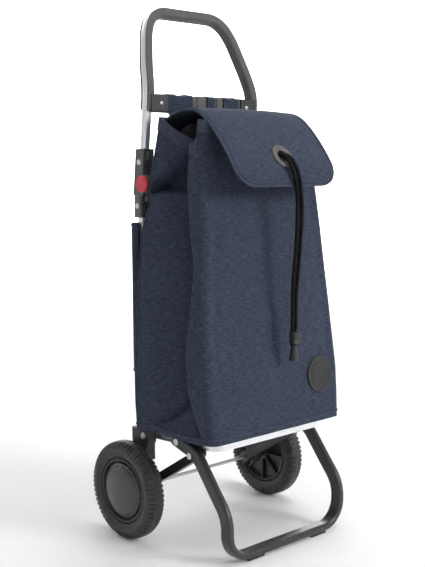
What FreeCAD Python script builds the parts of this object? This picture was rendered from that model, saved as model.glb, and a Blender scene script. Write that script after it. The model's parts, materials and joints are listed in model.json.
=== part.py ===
"""Folding two-wheel shopping trolley: frame, folding handle, tray, stand, struts, wheels, bag, flap and cord.

Millimetres. +Z is up, -Y is the front, X runs across. The origin is on the floor, under the middle of the
trolley's outer box. Every size is a cell of the sheet, and what fits a piece reads the same cells.
"""

import FreeCAD
import Part
import math
import os

Vector = FreeCAD.Vector
X_AXIS = Vector(1, 0, 0)
Y_AXIS = Vector(0, 1, 0)
Z_AXIS = Vector(0, 0, 1)
ORIGIN = Vector(0, 0, 0)

# One row for each driving size: the alias, its value and what it is.
SIZES = [
    ("overall_rise", 1023.0, "floor to the top of the handle"),
    ("overall_depth", 345.0, "stand's front face to the back of the wheels"),
    ("wheel_radius", 95.0, "tyre's outer radius"),
    ("wheel_centre", 192.5, "middle of the tyre from the middle plane"),
    ("tyre_width", 37.0, "across the tread"),
    ("tyre_bead", 64.0, "inner radius of the tyre, and the hub's rim"),
    ("tyre_shoulder", 8.0, "round of the tyre's shoulders"),
    ("hub_width", 30.0, "hub's rim along the axle"),
    ("hub_web", 6.0, "thickness of the hub's disc"),
    ("hub_rim_wall", 4.0, "thickness of the hub's rim"),
    ("hub_boss_radius", 14.0, "boss round the bush"),
    ("cap_radius", 53.5, "hub cap"),
    ("cap_depth", 5.5, "hub cap, edge to crown"),
    ("axle_radius", 4.0, "steel rod"),
    ("running_gap", 0.06, "round a shaft that turns"),
    ("side_gap", 0.4, "between faces that slide past each other"),
    ("bush_radius", 8.0, "outside of the wheel's bush"),
    ("clip_radius", 7.0, "clip at the axle's end"),
    ("clip_thickness", 2.0, "clip at the axle's end"),
    ("spacer_radius", 9.0, "spacer between foot and wheel"),
    ("tube_side", 16.0, "square aluminium tube"),
    ("tube_corner", 5.0, "round of the tube's edges"),
    ("tube_wall", 1.8, "wall of the tube"),
    ("tube_spread", 138.5, "tube's centre from the middle plane"),
    ("mast_base", 150.0, "lower end of the mast tubes"),
    ("mast_set_back", 8.5, "tube's centre behind the axle at its lower end"),
    ("mast_lean", 0.93, "degrees that the mast leans back"),
    ("seam_rise", 660.0, "where the two casings meet"),
    ("casing_side", 25.0, "casing across the trolley"),
    ("casing_depth", 24.0, "casing from front to back"),
    ("casing_corner", 5.0, "round of the casing's upright edges"),
    ("lower_casing_drop", 42.0, "seam to the lower casing's foot"),
    ("upper_casing_rise", 88.0, "seam to the upper casing's top"),
    ("pivot_rise", 682.0, "fold pivot above the floor"),
    ("pivot_forward", 17.0, "fold pivot in front of the tube's centre"),
    ("knuckle_radius", 18.0, "upper casing round the pivot"),
    ("tongue_thickness", 9.0, "lower casing's tongue"),
    ("tongue_half", 9.0, "half of the tongue's depth"),
    ("tongue_front", 4.0, "tongue's shank in front of the pivot"),
    ("button_radius", 16.0, "round release button"),
    ("button_travel", 3.5, "how far it goes in"),
    ("button_proud", 4.5, "how far it stands out of the casing"),
    ("button_seat", 1.2, "how deep its back sits in the casing"),
    ("rivet_radius", 3.0, "rivet shank"),
    ("rivet_head", 5.5, "rivet head"),
    ("rivet_proud", 1.6, "height of a rivet head"),
    ("handle_lean", 5.3, "degrees that the handle's legs lean forward"),
    ("handle_bend_rise", 858.0, "where the legs bend back into the loop"),
    ("loop_lean", 18.5, "degrees that the loop leans back"),
    ("loop_corner", 55.0, "round of the loop's top corners"),
    ("grip_skin", 3.0, "thickness of the grip on the tube"),
    ("grip_end_rise", 820.0, "lower end of the grip"),
    ("bar_rise", 834.0, "middle of the crossbar"),
    ("bar_half_length", 97.0, "crossbar from the middle to its end clamp"),
    ("bar_height", 31.0, "crossbar"),
    ("bar_depth", 17.0, "crossbar from front to back"),
    ("bar_corner", 4.0, "round of the crossbar's long edges"),
    ("clamp_extra", 1.5, "how far an end clamp stands out round the bar"),
    ("foot_inner", 144.5, "inner face of the mast foot's plate"),
    ("foot_outer", 165.0, "outer face of the mast foot"),
    ("foot_wall", 4.0, "mast foot's wall round the tube"),
    ("foot_rise", 210.0, "top of the mast foot"),
    ("foot_eye", 15.0, "mast foot round the axle"),
    ("foot_ear", 14.0, "mast foot in front of the tray's pivot"),
    ("foot_ear_half", 10.0, "half of the ear's height"),
    ("foot_round", 3.0, "round of the mast foot's outer edges"),
    ("tray_pivot_forward", 15.0, "tray pivot in front of the axle"),
    ("tray_pivot_rise", 198.0, "tray pivot above the floor"),
    ("tray_lean", 2.8, "degrees that the tray's front is raised"),
    ("tray_half_width", 143.5, "tray rail's outer face"),
    ("tray_reach", 185.0, "tray pivot to the tray's front"),
    ("tray_band", 14.0, "height of the tray's rail"),
    ("tray_wall", 3.0, "thickness of the tray's rail"),
    ("tray_corner", 22.0, "round of the tray's front corners"),
    ("board_thickness", 4.0, "board in the tray"),
    ("pin_radius", 4.0, "pivot pins of tray, stand and casings"),
    ("leg_pivot_along", 90.2, "tray pivot to stand pivot"),
    ("leg_spread", 152.0, "stand leg's centre from the middle plane"),
    ("leg_side", 14.0, "stand leg across the trolley"),
    ("leg_depth", 26.0, "stand leg from front to back"),
    ("leg_corner", 5.5, "round of the leg's edges"),
    ("pad_long", 40.0, "stand's foot pad"),
    ("stand_corner", 46.0, "round of the stand's lower corners"),
    ("pad_rise", 4.0, "height of the stand's foot pads"),
    ("strut_inner", 124.0, "strut's inner face"),
    ("strut_side", 14.0, "strut across the trolley"),
    ("strut_half", 8.5, "half of the strut's depth"),
    ("strut_end_forward", 142.0, "axle to the strut's far pivot, along Y"),
    ("strut_end_rise", 185.0, "strut's far pivot above the floor"),
    ("bag_wall", 3.0, "bag's cloth and its board"),
    ("bag_floor", 216.5, "underside of the bag"),
    ("bag_top", 798.0, "rim of the bag"),
    ("bag_corner", 14.0, "round of the bag's upright corners"),
    ("bag_straight", 590.0, "where the bag's back leaves the mast"),
    ("leg_clear", 1.0, "between the bag's floor and the stand's leg"),
    ("bag_gap", 1.5, "between the bag's back and the mast"),
    ("sleeve_low", 320.0, "lower hem of the rear sleeve"),
    ("sleeve_high", 608.0, "upper hem of the rear sleeve"),
    ("sleeve_half_width", 165.0, "rear sleeve's side face"),
    ("sleeve_wall", 2.0, "rear sleeve's cloth"),
    ("badge_radius", 34.0, "round badge"),
    ("badge_depth", 4.0, "round badge"),
    ("badge_across", 113.7, "badge's centre from the middle plane"),
    ("badge_rise", 312.0, "badge's centre above the floor"),
    ("badge_gap", 1.2, "between the bag's cloth and the badge"),
    ("flap_half_width", 134.0, "flap from the middle to its side"),
    ("flap_wall", 3.0, "flap's cloth and filling"),
    ("flap_corner", 45.0, "round of the flap's lower corners"),
    ("flap_hinge_rise", 803.0, "seam that the flap lifts on"),
    ("eyelet_rise", 736.0, "eyelet's centre above the floor"),
    ("eyelet_radius", 24.0, "eyelet's ring"),
    ("eyelet_hole", 12.0, "eyelet's hole"),
    ("eyelet_proud", 2.2, "how far the eyelet stands out of the flap"),
    ("cord_radius", 3.8, "drawcord"),
    ("cord_spacing", 9.0, "between the two strands in the lock"),
    ("lock_width", 22.0, "cord lock"),
    ("lock_height", 22.0, "cord lock"),
    ("lock_rise", 400.0, "cord lock's middle above the floor"),
    ("lock_depth", 16.5, "cord lock"),
    ("plunger_radius", 2.8, "cord lock's plunger"),
    ("plunger_travel", 4.0, "how far the lock's plunger goes in"),
    ("bell_radius", 8.5, "cord end's mouth"),
    ("bell_height", 30.0, "cord end"),
]

doc = FreeCAD.newDocument("shopping_trolley")
sheet = doc.addObject("Spreadsheet::Sheet", "sizes")
for row, (alias, value, meaning) in enumerate(SIZES, start=1):
    sheet.set(f"A{row}", meaning)
    sheet.set(f"B{row}", str(value))
    sheet.setAlias(f"B{row}", alias)
doc.recompute()


class SheetSizes:
    """Reads a size from the sheet by its alias."""

    def __getattr__(self, alias):
        return float(sheet.get(alias))


size = SheetSizes()
ALIASES = sorted((alias for alias, _, _ in SIZES), key=len, reverse=True)
SIDES = (("left", -1), ("right", 1))

# Places that several pieces share, in the side view (Y, Z).
axle_back = size.overall_depth / 2 - size.wheel_radius
axle_rise = size.wheel_radius
mast_foot_back = axle_back + size.mast_set_back
mast_slope = math.tan(math.radians(size.mast_lean))
front_face = -size.overall_depth / 2


def mast_back(rise):
    """Y of the mast tube's centre at a height."""
    return mast_foot_back + (rise - size.mast_base) * mast_slope


pivot_back = mast_back(size.seam_rise) - size.pivot_forward
tray_pivot_back = axle_back - size.tray_pivot_forward
handle_slope = -math.tan(math.radians(size.handle_lean))


def handle_back(rise):
    """Y of the handle leg's centre at a height below the bend."""
    return mast_back(size.seam_rise) + (rise - size.seam_rise) * handle_slope


def expression(text):
    """Puts the sheet's name before each alias in a formula."""
    words = text.replace("(", " ( ").replace(")", " ) ").split()
    return " ".join("sizes." + word if word in ALIASES else word for word in words)


def bind(feature, **formulas):
    """Binds properties to formulas of the sheet's aliases; a double underscore stands for a dot."""
    for name, formula in formulas.items():
        feature.setExpression(name.replace("__", "."), expression(formula))


def place(feature, x, y, z, turn=0.0, axis=X_AXIS):
    """Gives a sub-part its Placement, from numbers already read from the sheet."""
    feature.Placement = FreeCAD.Placement(Vector(x, y, z), FreeCAD.Rotation(axis, turn))


def new_body(label):
    """An empty PartDesign body with its label."""
    body = doc.addObject("PartDesign::Body", label)
    body.Label = label
    return body


def add_box(body, name, across, deep, high, at, subtract=False, turn=0.0):
    """A box feature in a body: its sizes are formulas, and at is its lowest corner."""
    kind = "PartDesign::SubtractiveBox" if subtract else "PartDesign::AdditiveBox"
    feature = body.newObject(kind, name)
    bind(feature, Length=across, Width=deep, Height=high)
    feature.Placement = FreeCAD.Placement(Vector(*at), FreeCAD.Rotation(X_AXIS, turn))
    return feature


def add_cylinder(body, name, radius, length, at, axis=X_AXIS, subtract=False):
    """A cylinder feature in a body, from at along axis."""
    kind = "PartDesign::SubtractiveCylinder" if subtract else "PartDesign::AdditiveCylinder"
    feature = body.newObject(kind, name)
    bind(feature, Radius=radius, Height=length)
    feature.Placement = FreeCAD.Placement(Vector(*at), FreeCAD.Rotation(Z_AXIS, axis))
    return feature


def round_edges(body, name, radius, wanted):
    """Rounds the edges of the body's last feature that wanted accepts."""
    doc.recompute()
    base = body.Tip
    names = [f"Edge{i}" for i, edge in enumerate(base.Shape.Edges, start=1) if wanted(edge)]
    feature = body.newObject("PartDesign::Fillet", name)
    feature.Base = (base, names)
    bind(feature, Radius=radius)
    doc.recompute()
    return feature


def runs_along(axis):
    """A test for straight edges parallel to an axis."""

    def test(edge):
        if not isinstance(edge.Curve, Part.Line):
            return False
        return abs(edge.tangentAt(edge.FirstParameter).dot(axis)) > 0.999

    return test


def part_feature(label, shape):
    """A sub-part whose shape is worked out here."""
    feature = doc.addObject("Part::Feature", label)
    feature.Label = label
    feature.Shape = shape
    feature.Placement = FreeCAD.Placement()
    return feature


def round_rod(label, radius, length, at, axis=X_AXIS):
    """A Part cylinder bound to the sheet."""
    rod = doc.addObject("Part::Cylinder", label)
    rod.Label = label
    bind(rod, Radius=radius, Height=length)
    rod.Placement = FreeCAD.Placement(Vector(*at), FreeCAD.Rotation(Z_AXIS, axis))
    return rod


def mirrored(label, source):
    """The right-hand copy of a left-hand sub-part."""
    copy = doc.addObject("Part::Mirroring", label)
    copy.Label = label
    copy.Source = source
    copy.Normal = X_AXIS
    copy.Base = ORIGIN
    return copy


# ---------------------------------------------------------------- sections carried along a route


def rounded_wire(across, deep, corner):
    """A rounded rectangle about the origin in the XY plane."""
    half_x = across / 2 - corner
    half_y = deep / 2 - corner
    slant = corner * math.sqrt(0.5)
    edges = []
    corners = [(half_x, half_y, 1, 1), (-half_x, half_y, -1, 1), (-half_x, -half_y, -1, -1), (half_x, -half_y, 1, -1)]
    ends = []
    for x, y, sx, sy in corners:
        middle = Vector(x + sx * slant, y + sy * slant, 0)
        side = Vector(x + sx * corner, y, 0)
        cap = Vector(x, y + sy * corner, 0)
        first, last = (side, cap) if sx * sy > 0 else (cap, side)
        ends.append((first, last))
        edges.append(Part.Arc(first, middle, last).toShape())
    for index in range(4):
        edges.append(Part.LineSegment(ends[index][1], ends[(index + 1) % 4][0]).toShape())
    return Part.Wire(Part.__sortEdges__(edges))


def rounded_face(across, deep, corner):
    """A rounded rectangle as a face."""
    return Part.Face(rounded_wire(across, deep, corner))


def round_face(radius):
    """A disc about the origin in the XY plane."""
    return Part.Face(Part.Wire(Part.makeCircle(radius)))


def stand_on(face, point, along, across):
    """Moves a face from the XY plane to a point, with its normal along the route and its X side across."""
    along = Vector(along).normalize()
    across = Vector(across)
    across = (across - along * across.dot(along)).normalize()
    third = along.cross(across)
    matrix = FreeCAD.Matrix(
        across.x, third.x, along.x, point.x, across.y, third.y, along.y, point.y, across.z, third.z, along.z, point.z
    )
    return transformed(face, matrix)


def transformed(shape, matrix):
    """A copy of a shape moved by a rigid matrix."""
    copy = shape.copy()
    copy.Placement = FreeCAD.Placement(matrix).multiply(copy.Placement)
    return copy


def route_parts(points, radii):
    """Splits a route into straight runs and tangent arcs: ("line", a, b) and ("arc", a, centre, axis, degrees)."""
    pieces = []
    start = points[0]
    for index in range(1, len(points) - 1):
        before = (points[index] - points[index - 1]).normalize()
        after = (points[index + 1] - points[index]).normalize()
        turn = before.getAngle(after)
        if turn < 1e-4 or radii[index] <= 0:
            continue
        cut = radii[index] * math.tan(turn / 2)
        first = points[index] - before * cut
        last = points[index] + after * cut
        axis = before.cross(after).normalize()
        centre = first + axis.cross(before) * radii[index]
        if (first - start).Length > 1e-6:
            pieces.append(("line", start, first))
        pieces.append(("arc", first, centre, axis, math.degrees(turn)))
        start = last
    pieces.append(("line", start, points[-1]))
    return pieces


def carried(face, points, radii, across):
    """Carries a section along a route of straight runs and tangent arcs, with no twist."""
    section = stand_on(face, points[0], points[1] - points[0], across)
    solids = []
    for piece in route_parts(points, radii):
        if piece[0] == "line":
            shift = piece[2] - piece[1]
            solids.append(section.extrude(shift))
            section = section.copy()
            section.translate(shift)
        else:
            _, _, centre, axis, degrees = piece
            solids.append(section.revolve(centre, axis, degrees))
            section = section.copy()
            section.rotate(centre, axis, degrees)
    joined = solids[0].multiFuse(solids[1:]) if len(solids) > 1 else solids[0]
    return joined.removeSplitter()


def route_length(points, radii):
    """Length of a route along its runs and arcs."""
    total = 0.0
    for piece in route_parts(points, radii):
        if piece[0] == "line":
            total += (piece[2] - piece[1]).Length
        else:
            total += math.radians(piece[4]) * (piece[1] - piece[2]).Length
    return total


def both_halves(half):
    """A left half joined to its mirror image."""
    return half.fuse(half.mirror(ORIGIN, X_AXIS)).removeSplitter()


def side_outline(points, x_low, width):
    """A closed outline in the side view (Y, Z), given a thickness along X."""
    wire = Part.makePolygon([Vector(x_low, y, z) for y, z in points + points[:1]])
    return Part.Face(wire).extrude(Vector(width, 0, 0))


def rod_shape(radius, x_low, length, y, z):
    """A cylinder along X."""
    return Part.makeCylinder(radius, length, Vector(x_low, y, z), X_AXIS)


# ---------------------------------------------------------------- wheels


def revolved_ring(label, outer, inner, width, round_by=None):
    """A ring about X as a body: a padded cylinder, bored, with its outer edges rounded."""
    body = new_body(label)
    add_cylinder(body, label + "_disc", outer, width, (0, 0, 0))
    add_cylinder(body, label + "_bore", inner, width, (0, 0, 0), subtract=True)
    if round_by:
        outer_radius = float(sheet.get(outer))
        round_edges(
            body,
            label + "_round",
            round_by,
            lambda edge: isinstance(edge.Curve, Part.Circle) and abs(edge.Curve.Radius - outer_radius) < 0.01,
        )
    return body


def make_wheels():
    """Tyre, hub, bush and cap for each side, as bodies turned about the axle."""
    for side, sign in SIDES:
        middle = sign * size.wheel_centre
        inner_face = middle - size.tyre_width / 2
        tyre = revolved_ring("tyre_" + side, "wheel_radius", "tyre_bead", "tyre_width", "tyre_shoulder")
        place(tyre, inner_face, axle_back, axle_rise)

        hub = new_body("hub_" + side)
        add_cylinder(hub, hub.Name + "_drum", "tyre_bead", "hub_width", (-size.hub_width / 2, 0, 0))
        for end, low in (("a", -size.hub_width / 2), ("b", size.hub_web / 2)):
            add_cylinder(hub, hub.Name + "_hollow_" + end, "tyre_bead - hub_rim_wall",
                         "( hub_width - hub_web ) / 2", (low, 0, 0), subtract=True)
        add_cylinder(hub, hub.Name + "_boss", "hub_boss_radius", "hub_width / 2 + hub_web / 2",
                     (-size.hub_width / 2 if sign > 0 else -size.hub_web / 2, 0, 0))
        add_cylinder(hub, hub.Name + "_bore", "bush_radius", "hub_width", (-size.hub_width / 2, 0, 0), subtract=True)
        place(hub, middle, axle_back, axle_rise)

        bush = doc.addObject("Part::Cut", "bush_" + side)
        outer = round_rod("bush_body_" + side, "bush_radius", "hub_width / 2 + hub_web / 2", (0, 0, 0))
        bore = round_rod("bush_bore_" + side, "axle_radius + running_gap", "hub_width", (0, 0, 0))
        bush.Base = outer
        bush.Tool = bore
        bush.Label = "bush_" + side
        low = middle - size.hub_width / 2 if sign > 0 else middle - size.hub_web / 2
        place(bush, low, axle_back, axle_rise)

        # The cap is a slice of a sphere on a short skirt that fills the hub's outer recess.
        crown = size.cap_depth
        ball = (size.cap_radius**2 + crown**2) / (2 * crown)
        seat = size.wheel_centre + size.hub_width / 2 - size.hub_web
        skirt = rod_shape(size.cap_radius, seat, size.hub_web, axle_back, axle_rise)
        dome = Part.makeSphere(ball, Vector(seat + size.hub_web + crown - ball, axle_back, axle_rise))
        slab = rod_shape(size.cap_radius, seat + size.hub_web, crown * 2, axle_back, axle_rise)
        cap = skirt.fuse(dome.common(slab)).removeSplitter()
        if sign < 0:
            cap = cap.mirror(ORIGIN, X_AXIS)
        part_feature("hub_cap_" + side, cap)


def make_axle():
    """Steel axle, the spacers inside the wheels and the clips outside them."""
    reach = size.wheel_centre + size.hub_web / 2
    axle = round_rod("axle", "axle_radius", "( wheel_centre + hub_web / 2 ) * 2", (-reach, axle_back, axle_rise))
    axle.Label = "axle"
    hub_inner = size.wheel_centre - size.hub_width / 2
    spacers = []
    for side, sign in SIDES:
        length = hub_inner - size.foot_outer - size.side_gap
        low = size.foot_outer if sign > 0 else -size.foot_outer - length
        outer = rod_shape(size.spacer_radius, low, length, axle_back, axle_rise)
        spacers.append(outer.cut(rod_shape(size.axle_radius, low, length, axle_back, axle_rise)))
    part_feature("axle_spacers", Part.makeCompound(spacers))
    clips = []
    for side, sign in SIDES:
        low = reach + size.side_gap
        clip = rod_shape(size.clip_radius, low, size.clip_thickness, axle_back, axle_rise)
        stub = rod_shape(size.axle_radius, reach, size.clip_thickness + size.side_gap, axle_back, axle_rise)
        clip = clip.fuse(stub).removeSplitter()
        clips.append(clip if sign > 0 else clip.mirror(ORIGIN, X_AXIS))
    part_feature("axle_clips", Part.makeCompound(clips))


# ---------------------------------------------------------------- mast, feet and lower casings

MAST_TOP_IN_CASING = 6.0
RIVET_BELOW_MAST_TOP = 14.0
RIVET_BELOW_CASING_TOP = 25.0


def mast_length():
    """Length of a mast tube along its lean."""
    return (size.seam_rise - MAST_TOP_IN_CASING - size.mast_base) / math.cos(math.radians(size.mast_lean))


def casing_low():
    """X of the casing's inner face on the left side, and its centre."""
    return size.tube_spread - size.casing_side / 2


def make_masts():
    """Square tubes from the feet to just under the seam of the casings, leaning back a little."""
    long = mast_length()
    for side, sign in SIDES:
        outer = rounded_face(size.tube_side, size.tube_side, size.tube_corner)
        inner_side = size.tube_side - 2 * size.tube_wall
        inner = rounded_face(inner_side, inner_side, size.tube_corner - size.tube_wall)
        tube = outer.cut(inner).extrude(Vector(0, 0, long))
        shank = Part.makeCylinder(size.rivet_radius, size.tube_side * 2, Vector(-size.tube_side, 0, 0), X_AXIS)
        shank.translate(Vector(0, 0, long - RIVET_BELOW_MAST_TOP))
        mast = part_feature("mast_" + side, tube.cut(shank))
        place(mast, sign * size.tube_spread, mast_foot_back, size.mast_base, -size.mast_lean)


def mast_blank(extra, low, high):
    """The space of the left-or-right mast tube between two heights, grown by extra, about X = 0."""
    side = size.tube_side + 2 * extra
    face = rounded_face(side, side, size.tube_corner + extra)
    bottom = Vector(0, mast_back(low), low)
    top = Vector(0, mast_back(high), high)
    return carried(face, [bottom, top], [0, 0], X_AXIS)


def make_mast_feet():
    """Plastic feet: a socket round the mast tube, an eye round the axle and an ear for the tray's pivot."""
    back = mast_foot_back + size.tube_side / 2 + size.foot_wall
    front = mast_foot_back - size.tube_side / 2 - size.foot_wall
    ear_front = tray_pivot_back - size.foot_ear
    plate = side_outline(
        [
            (ear_front, size.tray_pivot_rise - size.foot_ear_half),
            (ear_front, size.tray_pivot_rise + size.foot_ear_half),
            (front, size.foot_rise),
            (back + 1.5, size.foot_rise),
            (back, size.mast_base - size.foot_ear_half),
            (axle_back + size.foot_eye, axle_rise),
            (axle_back - size.foot_eye, axle_rise),
            (front - 2, size.mast_base),
        ],
        size.foot_inner, size.foot_outer - size.foot_inner)
    eye = rod_shape(size.foot_eye, size.foot_inner, size.foot_outer - size.foot_inner, axle_back, axle_rise)
    socket_low = size.tube_spread - size.tube_side / 2 - size.foot_wall
    socket = Part.makeBox(
        size.foot_inner - socket_low + 2, back - front, size.foot_rise - size.mast_base + 8,
        Vector(socket_low, front, size.mast_base - 8))
    foot = plate.fuse([eye, socket]).removeSplitter()
    outer_edges = [e for e in foot.Edges if e.BoundBox.XMin > size.foot_outer - 0.01]
    foot = foot.makeFillet(size.foot_round, outer_edges)
    channel = mast_blank(0, size.mast_base, size.foot_rise + 30)
    channel.translate(Vector(size.tube_spread, 0, 0))
    axle_bore = rod_shape(size.axle_radius, 0, size.foot_outer + 5, axle_back, axle_rise)
    pin_bore = rod_shape(size.pin_radius, 0, size.foot_outer + 5, tray_pivot_back, size.tray_pivot_rise)
    foot = foot.cut([channel, axle_bore, pin_bore])
    right = part_feature("mast_foot_right", foot)
    mirrored("mast_foot_left", right)


def make_pins():
    """Pivot pins with domed heads: tray, stand and fold pivots, and the struts' rivets in the stand."""
    head = size.rivet_proud
    pins = []
    inner = size.tray_half_width - size.tray_wall - 2
    for y, z, low, high, name in (
        (tray_pivot_back, size.tray_pivot_rise, inner, size.foot_outer, "tray_pins"),
        (leg_pivot_back, leg_pivot_rise, inner, size.leg_spread + size.leg_side / 2 + size.side_gap, "stand_pins"),
    ):
        shank = rod_shape(size.pin_radius, low, high - low, y, z)
        cap = rod_shape(size.pin_radius + 2.5, high, head, y, z)
        pin = shank.fuse(cap).removeSplitter()
        pins.append((name, pin))
    for name, pin in pins:
        part_feature(name, Part.makeCompound([pin, pin.mirror(ORIGIN, X_AXIS)]))
    low = casing_low() + 1
    pin = rod_shape(size.pin_radius, low, size.casing_side - 7, pivot_back, size.pivot_rise)
    part_feature("fold_pins", Part.makeCompound([pin, pin.mirror(ORIGIN, X_AXIS)]))


def rivet_pair(label, y, z):
    """Through rivets with a head at each end, one in each casing."""
    low = casing_low()
    shank = rod_shape(size.rivet_radius, low, size.casing_side, y, z)
    heads = [
        rod_shape(size.rivet_head, low - size.rivet_proud, size.rivet_proud, y, z),
        rod_shape(size.rivet_head, low + size.casing_side, size.rivet_proud, y, z),
    ]
    rivet = shank.fuse(heads).removeSplitter()
    part_feature(label, Part.makeCompound([rivet, rivet.mirror(ORIGIN, X_AXIS)]))


def lower_rivet_rise():
    """Height of the rivet that holds the lower casing to the mast."""
    along = mast_length() - RIVET_BELOW_MAST_TOP
    return size.mast_base + along * math.cos(math.radians(size.mast_lean))


def upper_rivet_rise():
    """Height of the rivet that holds the upper casing to the handle's leg."""
    return size.seam_rise + size.upper_casing_rise - RIVET_BELOW_CASING_TOP


def make_lower_casings():
    """The casing's lower half: a block round the mast's top, with a tongue that reaches the fold pivot."""
    low = casing_low()
    centre = mast_back(size.seam_rise)
    bottom = size.seam_rise - size.lower_casing_drop
    block = Part.makeBox(size.casing_side, size.casing_depth, size.lower_casing_drop - size.side_gap,
                         Vector(low, centre - size.casing_depth / 2, bottom))
    block = block.makeFillet(size.casing_corner, [e for e in block.Edges if runs_along(Z_AXIS)(e)])
    tongue_low = size.tube_spread - size.tongue_thickness / 2
    root = size.tongue_half + 3
    tongue = Part.makeBox(size.tongue_thickness, size.tongue_front + size.tongue_half,
                          size.pivot_rise - size.seam_rise + root,
                          Vector(tongue_low, pivot_back - size.tongue_front, size.seam_rise - root))
    knuckle = rod_shape(size.tongue_half, tongue_low, size.tongue_thickness, pivot_back, size.pivot_rise)
    channel = mast_blank(0, bottom - 20, size.seam_rise - MAST_TOP_IN_CASING)
    channel.translate(Vector(size.tube_spread, 0, 0))
    rivet = rod_shape(size.rivet_radius, 0, 300, mast_back(lower_rivet_rise()), lower_rivet_rise())
    pin = rod_shape(size.pin_radius, 0, 300, pivot_back, size.pivot_rise)
    casing = block.fuse([tongue, knuckle]).cut([channel, rivet, pin]).removeSplitter()
    right = part_feature("lower_casing_right", casing)
    mirrored("lower_casing_left", right)


# ---------------------------------------------------------------- handle

HANDLE_FOOT = 40.0


def loop_point(x, along):
    """A point of the handle's loop: along is measured up the loop's plane from the bend."""
    lean = math.radians(size.loop_lean)
    return Vector(x, handle_back(size.handle_bend_rise) + along * math.sin(lean),
                  size.handle_bend_rise + along * math.cos(lean))


def loop_reach():
    """Distance up the loop's plane from the bend to the top bar's centre."""
    lean = math.radians(size.loop_lean)
    half = size.tube_side / 2
    spare = half * math.cos(lean) + (half + size.grip_skin) * math.sin(lean)
    return (size.overall_rise - spare - size.handle_bend_rise) / math.cos(lean)


def handle_route(start_rise):
    """Points and radii of the right half of the handle, from a height on its leg to the middle of the top."""
    reach = loop_reach()
    spread = size.tube_spread
    points = [
        Vector(spread, handle_back(start_rise), start_rise),
        Vector(spread, handle_back(size.handle_bend_rise), size.handle_bend_rise),
        loop_point(spread - 8, reach * 0.30),
        loop_point(spread - 25, reach * 0.71),
        loop_point(spread - 48, reach),
        loop_point(0, reach),
    ]
    return points, [0, 110, 480, 120, size.loop_corner, 0]


def grip_face():
    """The grip's section: it covers the tube's front, back and inner faces, and leaves the outer face bare."""
    half = size.tube_side / 2
    skin = size.grip_skin
    outer = [(half, half), (half, half + skin), (-half - skin, half + skin), (-half - skin, -half - skin),
             (half, -half - skin), (half, -half), (-half, -half), (-half, half)]
    wire = Part.makePolygon([Vector(x, y, 0) for x, y in outer + outer[:1]])
    return Part.Face(wire)


def grip_space(start_rise):
    """The space of the tube with the grip on every side, a little grown, for one side of the handle."""
    points, radii = handle_route(start_rise)
    side = size.tube_side + 2 * size.grip_skin + 0.04
    return carried(rounded_face(side, side, 0.2), points[:3], radii[:2] + [0], X_AXIS)


def make_handle():
    """The bent tube, its grip, the crossbar and the bar's end clamps."""
    points, radii = handle_route(size.seam_rise + HANDLE_FOOT)
    outer = carried(rounded_face(size.tube_side, size.tube_side, size.tube_corner), points, radii, X_AXIS)
    inner_side = size.tube_side - 2 * size.tube_wall
    bore = carried(rounded_face(inner_side, inner_side, size.tube_corner - size.tube_wall), points, radii, X_AXIS)
    rivet = rod_shape(size.rivet_radius, 0, 300, handle_back(upper_rivet_rise()), upper_rivet_rise())
    half = outer.cut([bore, rivet])
    part_feature("handle_tube", both_halves(half))

    points, radii = handle_route(size.grip_end_rise)
    grip = carried(grip_face(), points, radii, X_AXIS)
    part_feature("handle_grip", both_halves(grip))

    back = handle_back(size.bar_rise)
    bar = new_body("crossbar")
    add_box(bar, "crossbar_block", "bar_half_length * 2", "bar_depth", "bar_height",
            (-size.bar_half_length, back - size.bar_depth / 2, size.bar_rise - size.bar_height / 2))
    round_edges(bar, "crossbar_round", "bar_corner", runs_along(X_AXIS))

    extra = size.clamp_extra
    depth = size.tube_side + 2 * size.grip_skin + 4
    clamp = Part.makeBox(size.tube_spread - size.bar_half_length, depth, size.bar_height + 2 * extra,
                         Vector(size.bar_half_length, back - depth / 2, size.bar_rise - size.bar_height / 2 - extra))
    clamp = clamp.makeFillet(3.0, [e for e in clamp.Edges if runs_along(X_AXIS)(e)])
    clamp = clamp.cut(grip_space(size.seam_rise + HANDLE_FOOT))
    clamp = max(clamp.Solids, key=lambda solid: solid.Volume)
    right = part_feature("bar_clamp_right", clamp)
    mirrored("bar_clamp_left", right)


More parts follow.
